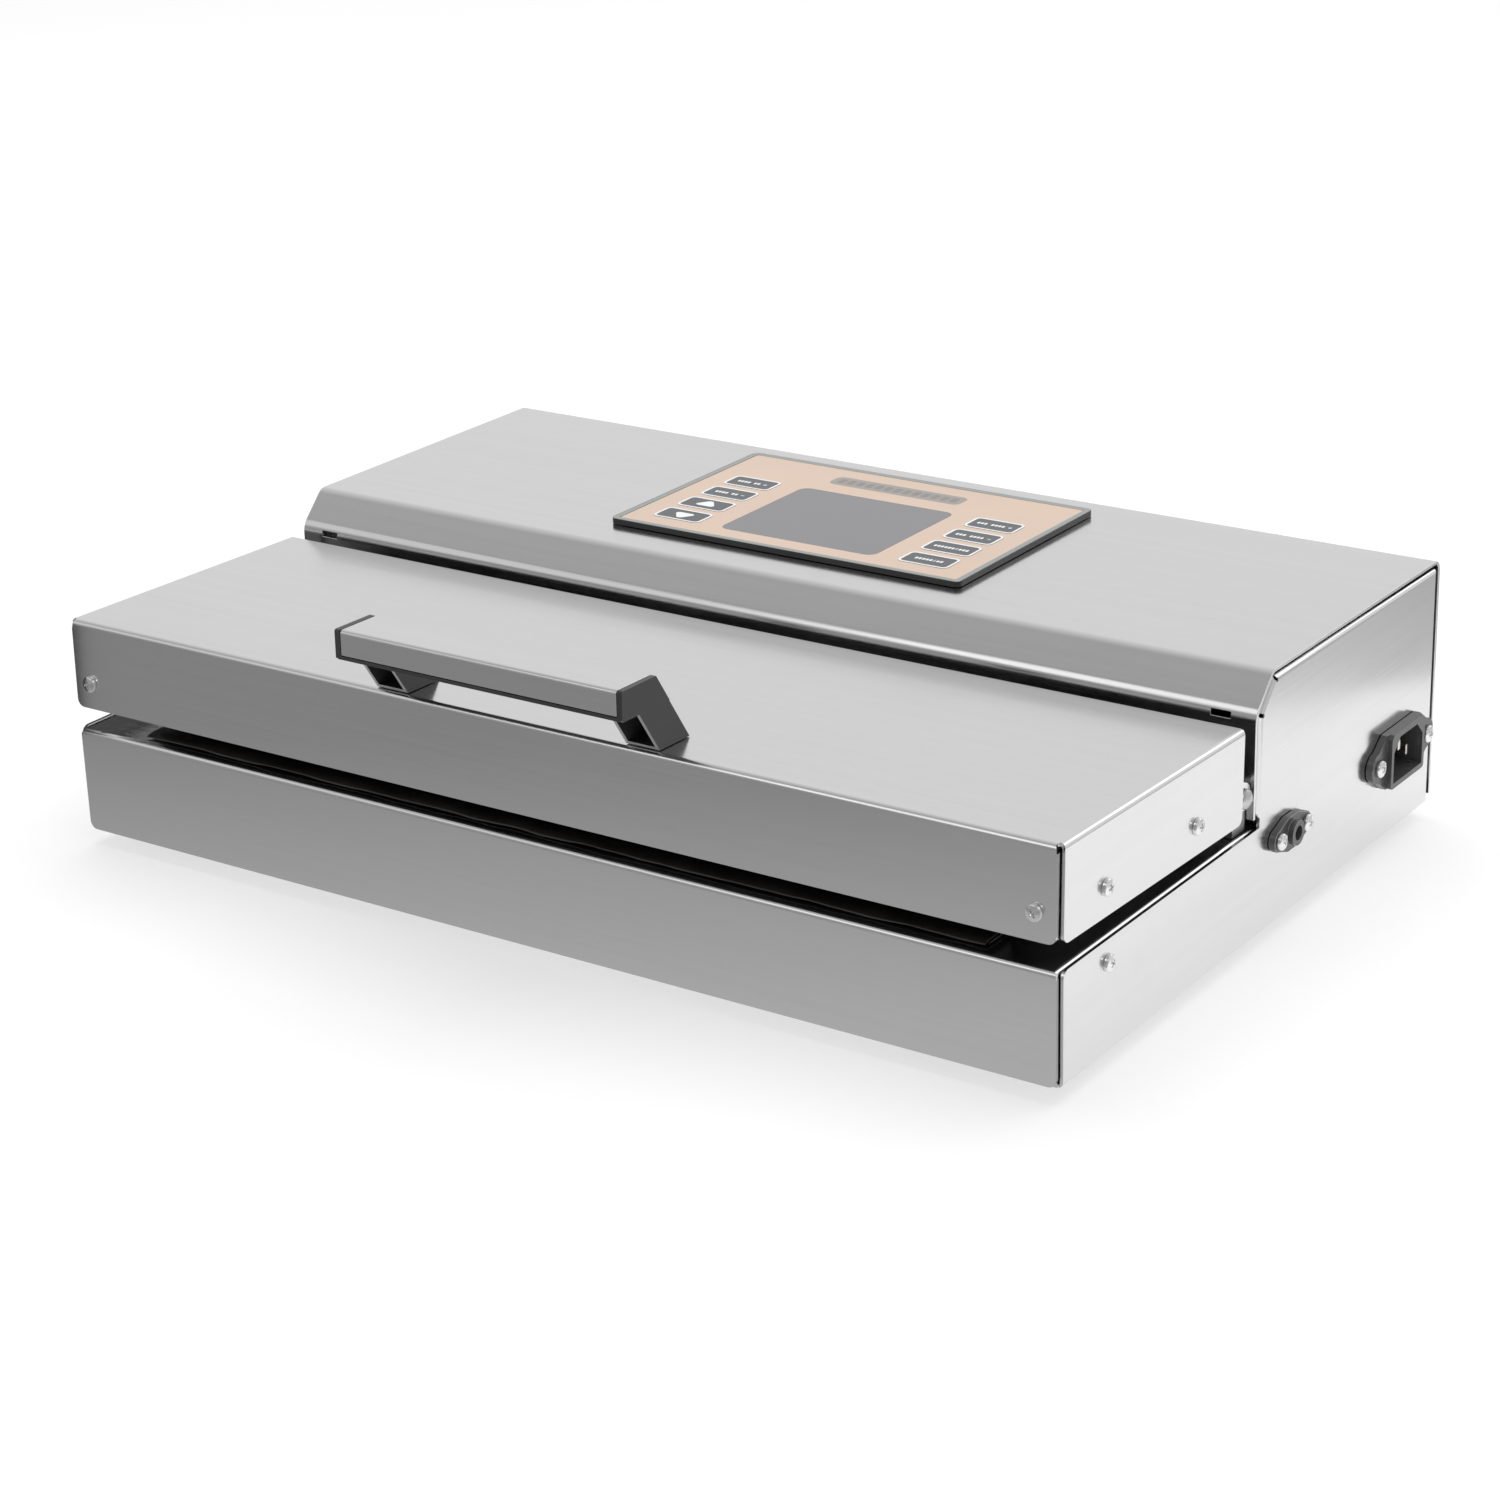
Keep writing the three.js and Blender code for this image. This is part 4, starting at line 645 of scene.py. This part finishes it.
def make_feet():
    for node in ("foot_front_left", "foot_front_right", "foot_rear_left", "foot_rear_right"):
        low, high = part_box(node)
        radius, height = (high.x - low.x) / 2, high.z - low.z
        bore, floor, corner = FOOT_RECESS["radius"], FOOT_RECESS["depth"], FOOT_RECESS["corner"]
        lip, sole, taper = FOOT_ROUND["lip"], FOOT_ROUND["sole"], FOOT_ROUND["taper"]
        profile = [(0.0, floor), (bore - corner, floor), (bore, floor - corner), (bore + 0.1 * MM, lip)]
        profile += arc((bore + 0.1 * MM + lip, lip), lip, 180, 270, 4)
        profile += arc((radius - taper - sole, sole), sole, 270, 350, 5)
        profile += arc((radius - lip, height - lip), lip, 0, 90, 4)
        profile += [(0.0, height)]
        piece = turned(node.replace("foot", "rubber_foot"), profile, [RUBBER])
        piece.location = ((low.x + high.x) / 2, (low.y + high.y) / 2, low.z)
        soften(piece, 0.05 * MM, 1, angle=50)
        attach(piece, "base")
        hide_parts(node)
        head = turned(node.replace("foot", "foot_rivet"),
                      [(0.0, 0.0)] + arc((2.2 * MM, -0.6 * MM), 0.6 * MM, 90, 0, 4)
                      + [(2.8 * MM, -1.1 * MM), (0.0, -1.1 * MM)], [PLATED], segments=32)
        head.matrix_world = Matrix.Translation(
            ((low.x + high.x) / 2, (low.y + high.y) / 2, low.z + floor - 1.15 * MM)
        ) @ Matrix.Rotation(math.pi, 4, "X")
        soften(head, 0.05 * MM, 1, angle=40)
        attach(head, "base")


# ---------------------------------------------------------------- control panel print

def print_piece(name, body, material, draw):
    """A thin printed layer. draw adds its shapes to a bmesh."""
    made = bmesh.new()
    draw(made)
    piece = finish_mesh(made, name, [material])
    piece.data.polygons.foreach_set("use_smooth", [False] * len(piece.data.polygons))
    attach(piece, body)
    return piece


def bar(width, depth, x=0.0, y=0.0):
    corner = min(width, depth) * 0.3
    return [(px + x, py + y) for px, py in rounded_outline(width, depth, corner, 3)]


def arrow(size, direction):
    """A rounded arrowhead that points along +Y or -Y."""
    points = []
    for centre in (90, 210, 330):
        for step in range(7):
            angle = math.radians(centre - 60 + 20 * step)
            middle = math.radians(centre)
            x = 0.62 * size * math.cos(middle) + 0.34 * size * math.cos(angle)
            y = 0.62 * size * math.sin(middle) + 0.34 * size * math.sin(angle)
            points.append((1.25 * x, direction * y))
    return points if direction > 0 else points[::-1]


def mark_shapes(marks):
    """The outlines of one key's marks, in metres about the key's middle."""
    if marks in ("up", "down"):
        return [arrow(3.6 * MM, 1 if marks == "up" else -1)]
    shapes = []
    across, up, thin = MARK["width"], MARK["height"], MARK["stroke"]
    for i, mark in enumerate(marks):
        x = (i - (len(marks) - 1) / 2) * MARK["pitch"]
        if mark == "#":
            shapes.append(bar(across, up, x))
        elif mark == "/":
            shapes.append(bar(thin, up * 1.1, x))
        elif mark == "-":
            shapes.append(bar(across * 1.5, thin, x))
        elif mark == "+":
            shapes.append(bar(across * 1.5, thin, x))
            shapes += [bar(thin, across * 0.5, x, side * 0.55 * across) for side in (-1, 1)]
    return shapes


def make_pad(node, body, material, corner):
    """A film pad that laps a little over the gap round it. Returns its middle, width, depth and top
    height.
    """
    low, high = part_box(node)
    centre = ((low.x + high.x) / 2, (low.y + high.y) / 2)
    width, depth = high.x - low.x + 2 * PAD_GROWTH, high.y - low.y + 2 * PAD_GROWTH
    made = bmesh.new()
    add_plate(made, rounded_outline(width, depth, corner, 8), low.z, high.z, centre)
    piece = finish_mesh(made, f"pad_{node}", [material])
    soften(piece, 0.12 * MM, 2, angle=40)
    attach(piece, body)
    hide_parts(node)
    return centre, width, depth, high.z


def make_keys():
    for node, marks in KEY_MARKS.items():
        centre, width, depth, height = make_pad(node, node, KEY_FILM, KEY_CORNER)
        width, depth = width - 2 * KEY_LINE_INSET, depth - 2 * KEY_LINE_INSET
        top = height + INK_LIFT

        def draw(made):
            outer = rounded_outline(width, depth, KEY_CORNER)
            inner = rounded_outline(width - 2 * KEY_LINE, depth - 2 * KEY_LINE, KEY_CORNER - KEY_LINE)
            add_ring(made, outer, inner, top, top + INK, centre)
            for outline in mark_shapes(marks):
                add_plate(made, outline, top, top + INK, centre)

        print_piece(f"print_{node}", node, WHITE_INK, draw)


def print_panel():
    low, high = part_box("panel_overlay")
    bezel_low, bezel_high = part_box("panel_bezel")
    centre = ((low.x + high.x) / 2, (low.y + high.y) / 2)
    top = bezel_high.z + INK_LIFT
    width, depth = bezel_high.x - bezel_low.x - 0.7 * MM, bezel_high.y - bezel_low.y - 0.7 * MM

    def border(made):
        outer = rounded_outline(width, depth, 1.4 * MM)
        inner = rounded_outline(width - 2 * BORDER_WIDTH, depth - 2 * BORDER_WIDTH, 0.5 * MM)
        add_ring(made, outer, inner, top, top + INK, centre)

    def strip(made):
        outline = rounded_outline(STRIP["width"], STRIP["depth"], STRIP["corner"])
        low_z = high.z + INK_LIFT
        add_plate(made, outline, low_z, low_z + INK, (centre[0], centre[1] + STRIP["behind"]))

    def strip_marks(made):
        pitch = STRIP["width"] / (STRIP["marks"] + 1)
        for i in range(STRIP["marks"]):
            x = (i - (STRIP["marks"] - 1) / 2) * pitch
            outline = bar(pitch * 0.7, STRIP["depth"] * 0.5, x, STRIP["behind"])
            add_plate(made, outline, high.z + 2 * INK_LIFT + INK, high.z + 2 * INK_LIFT + 2 * INK, centre)

    print_piece("panel_border", "base", GREY_FILM, border)
    print_piece("panel_name_strip", "base", STRIP_INK, strip)
    print_piece("panel_name_marks", "base", STRIP_MARKS, strip_marks)
    make_pad("display_window", "base", LENS_FILM, LENS_CORNER)


# ---------------------------------------------------------------- sealing tape

# Shares run from the tape's front edge to its back.
TAPE_SHEET = {"thickness": 0.16 * MM, "columns": 260, "rows": 22}
TAPE_LOOSE = {"share": 0.22, "ripple": 0.55 * MM, "stray": 1.3 * MM}
TAPE_DROOP = {"share": 0.25, "depth": 0.85 * MM}


def make_tape():
    """The non-stick tape over the seal bar. Its front edge hangs loose and ripples."""
    node = "sealing_tape"
    low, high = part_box(node)
    thickness, columns, rows = TAPE_SHEET["thickness"], TAPE_SHEET["columns"], TAPE_SHEET["rows"]
    top = high.z - thickness
    made = bmesh.new()
    grid = []
    for i in range(columns + 1):
        x = low.x + (high.x - low.x) * i / columns
        line = []
        for j in range(rows + 1):
            share = j / rows
            y = low.y + (high.y - low.y) * share
            loose = max(0.0, 1 - share / TAPE_LOOSE["share"]) ** 1.4
            droop = TAPE_DROOP["depth"] * max(0.0, 1 - share / TAPE_DROOP["share"]) ** 2
            wave = noise.noise(Vector((x * 38.0, 0.3, 1.7)))
            wave += 0.5 * noise.noise(Vector((x * 105.0, 4.1, 0.2)))
            edge = TAPE_LOOSE["stray"] * loose * noise.noise(Vector((x * 55.0, 9.3, 2.2)))
            z = top - droop + TAPE_LOOSE["ripple"] * loose * min(0.9, max(-0.9, wave))
            line.append(made.verts.new((x, y + max(0.0, edge), min(z, top))))
        grid.append(line)
    for i in range(columns):
        for j in range(rows):
            made.faces.new((grid[i][j], grid[i + 1][j], grid[i + 1][j + 1], grid[i][j + 1]))
    piece = finish_mesh(made, "ptfe_tape", [TAPE])
    thick = piece.modifiers.new("thickness", "SOLIDIFY")
    thick.thickness, thick.offset = thickness, 1.0
    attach(piece, "base")
    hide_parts(node)


# ---------------------------------------------------------------- studio

def look_at_object():
    """A camera from its place, heading round Z, angle below the horizon and roll."""
    data = bpy.data.cameras.new("camera")
    data.lens, data.sensor_width = LENS["focal_mm"], LENS["sensor_mm"]
    camera = bpy.data.objects.new("camera", data)
    bpy.context.scene.collection.objects.link(camera)
    turn = (Matrix.Rotation(math.radians(CAMERA["heading"]), 4, "Z")
            @ Matrix.Rotation(math.radians(90 - CAMERA["down"]), 4, "X")
            @ Matrix.Rotation(math.radians(CAMERA["roll"]), 4, "Z"))
    camera.matrix_world = Matrix.Translation(CAMERA["place"]) @ turn
    bpy.context.scene.camera = camera


def softbox(name, place, aim, width, height, watts, mirrored=True):
    data = bpy.data.lights.new(name, "AREA")
    data.shape, data.size, data.size_y, data.energy = "RECTANGLE", width, height, watts
    light = bpy.data.objects.new(name, data)
    bpy.context.scene.collection.objects.link(light)
    light.location = place
    light.rotation_mode = "QUATERNION"
    light.rotation_quaternion = (Vector(aim) - Vector(place)).to_track_quat("-Z", "Y")
    light.visible_camera = False
    light.visible_glossy = mirrored


def card(name, corners, low, high, base, slope):
    """A grey studio card that only reflections see. Its glow is base + slope . place, held
    between low and high."""
    made = bmesh.new()
    made.faces.new([made.verts.new(corner) for corner in corners])
    piece = finish_mesh(made, name, [])
    s = Shading(name + "_grey")
    part = s.add("VectorMath", {0: s.place, 1: slope}, operation="DOT_PRODUCT").outputs["Value"]
    graded = s.span(s.maths("ADD", part, base), low, high, low, high)
    glow = s.add("Emission", {"Strength": graded})
    s.tree.links.new(glow.outputs[0], s.tree.nodes["Material Output"].inputs["Surface"])
    s.tree.nodes.remove(s.surface)
    piece.data.materials.append(s.material)
    piece.visible_camera = piece.visible_diffuse = piece.visible_shadow = False
    piece.visible_transmission = False


# The sky's strength grows from the front of the studio to the back.
SKY = {"From Min": -0.6, "From Max": 0.7, "To Min": 0.43, "To Max": 1.0}
FLOOR_REACH = 12.0


def studio():
    scene = bpy.context.scene
    scene.view_settings.view_transform = "Standard"
    world = bpy.data.worlds.new("studio")
    scene.world = world
    world.use_nodes = True
    nodes, links = world.node_tree.nodes, world.node_tree.links
    nodes.clear()
    background, output = nodes.new("ShaderNodeBackground"), nodes.new("ShaderNodeOutputWorld")
    direction, parts = nodes.new("ShaderNodeTexCoord"), nodes.new("ShaderNodeSeparateXYZ")
    graded = nodes.new("ShaderNodeMapRange")
    links.new(direction.outputs["Generated"], parts.inputs[0])
    links.new(parts.outputs["Y"], graded.inputs["Value"])
    for socket, value in SKY.items():
        graded.inputs[socket].default_value = value
    links.new(graded.outputs[0], background.inputs["Strength"])
    links.new(background.outputs[0], output.inputs["Surface"])

    made = bmesh.new()
    side = FLOOR_REACH
    corners = ((-side, -side), (side, -side), (side, side), (-side, side))
    made.faces.new([made.verts.new((x, y, 0.0)) for x, y in corners])
    floor = finish_mesh(made, "floor", [pale_floor("pale_floor")])

    low = CAD_BOX[0]
    front, lift = low.y + 12 * MM, 0.4 * MM
    card("front_card", ((-2.5, -2.5, lift), (2.5, -2.5, lift), (2.5, front, lift), (-2.5, front, lift)),
         0.27, 0.5, 0.58, (0.36, 0.85, 0.0))
    # The upper edge of the housing's side mirrors a greyer part of the table behind it.
    card("rear_card", ((0.532, -0.159, lift), (1.8, 0.6, lift), (1.3, 1.5, lift), (-0.02, 0.755, lift)),
         0.5, 0.74, 0.936, (0.0, -1.09, 0.0))
    # What the deck mirrors through the gap at the left end of the lid.
    left = low.x - 25 * MM
    card("left_card", ((left, -0.16, 0.03), (left, 0.25, 0.03), (left, 0.25, 0.082), (left, -0.16, 0.082)),
         0.06, 0.12, 0.09, (0.0, 0.3, 0.0))
    softbox("overhead", (-0.1, 0.55, 2.4), (-0.1, 0.55, 0), 2.9, 2.1, 40, mirrored=False)
    softbox("front_high", (-0.62, -1.60, 1.20), (0.2, -0.14, 0.08), 0.9, 0.8, 1.8)
    softbox("left_high", (-1.50, -1.35, 1.10), (-0.2, -0.14, 0.08), 1.0, 0.8, 0.9)
    softbox("camera_right", (1.3, -1.2, 1.5), (0.1, 0, 0.05), 0.6, 0.6, 3.0)
    softbox("behind_right", (0.85, 2.05, 1.28), (0.2, 0.0, 0.08), 1.0, 0.7, 2.1)


# ---------------------------------------------------------------- the scene

look_at_object()
dress_nodes()
make_screws()
make_hinge_pins()
make_feet()
make_keys()
print_panel()
make_tape()
studio()
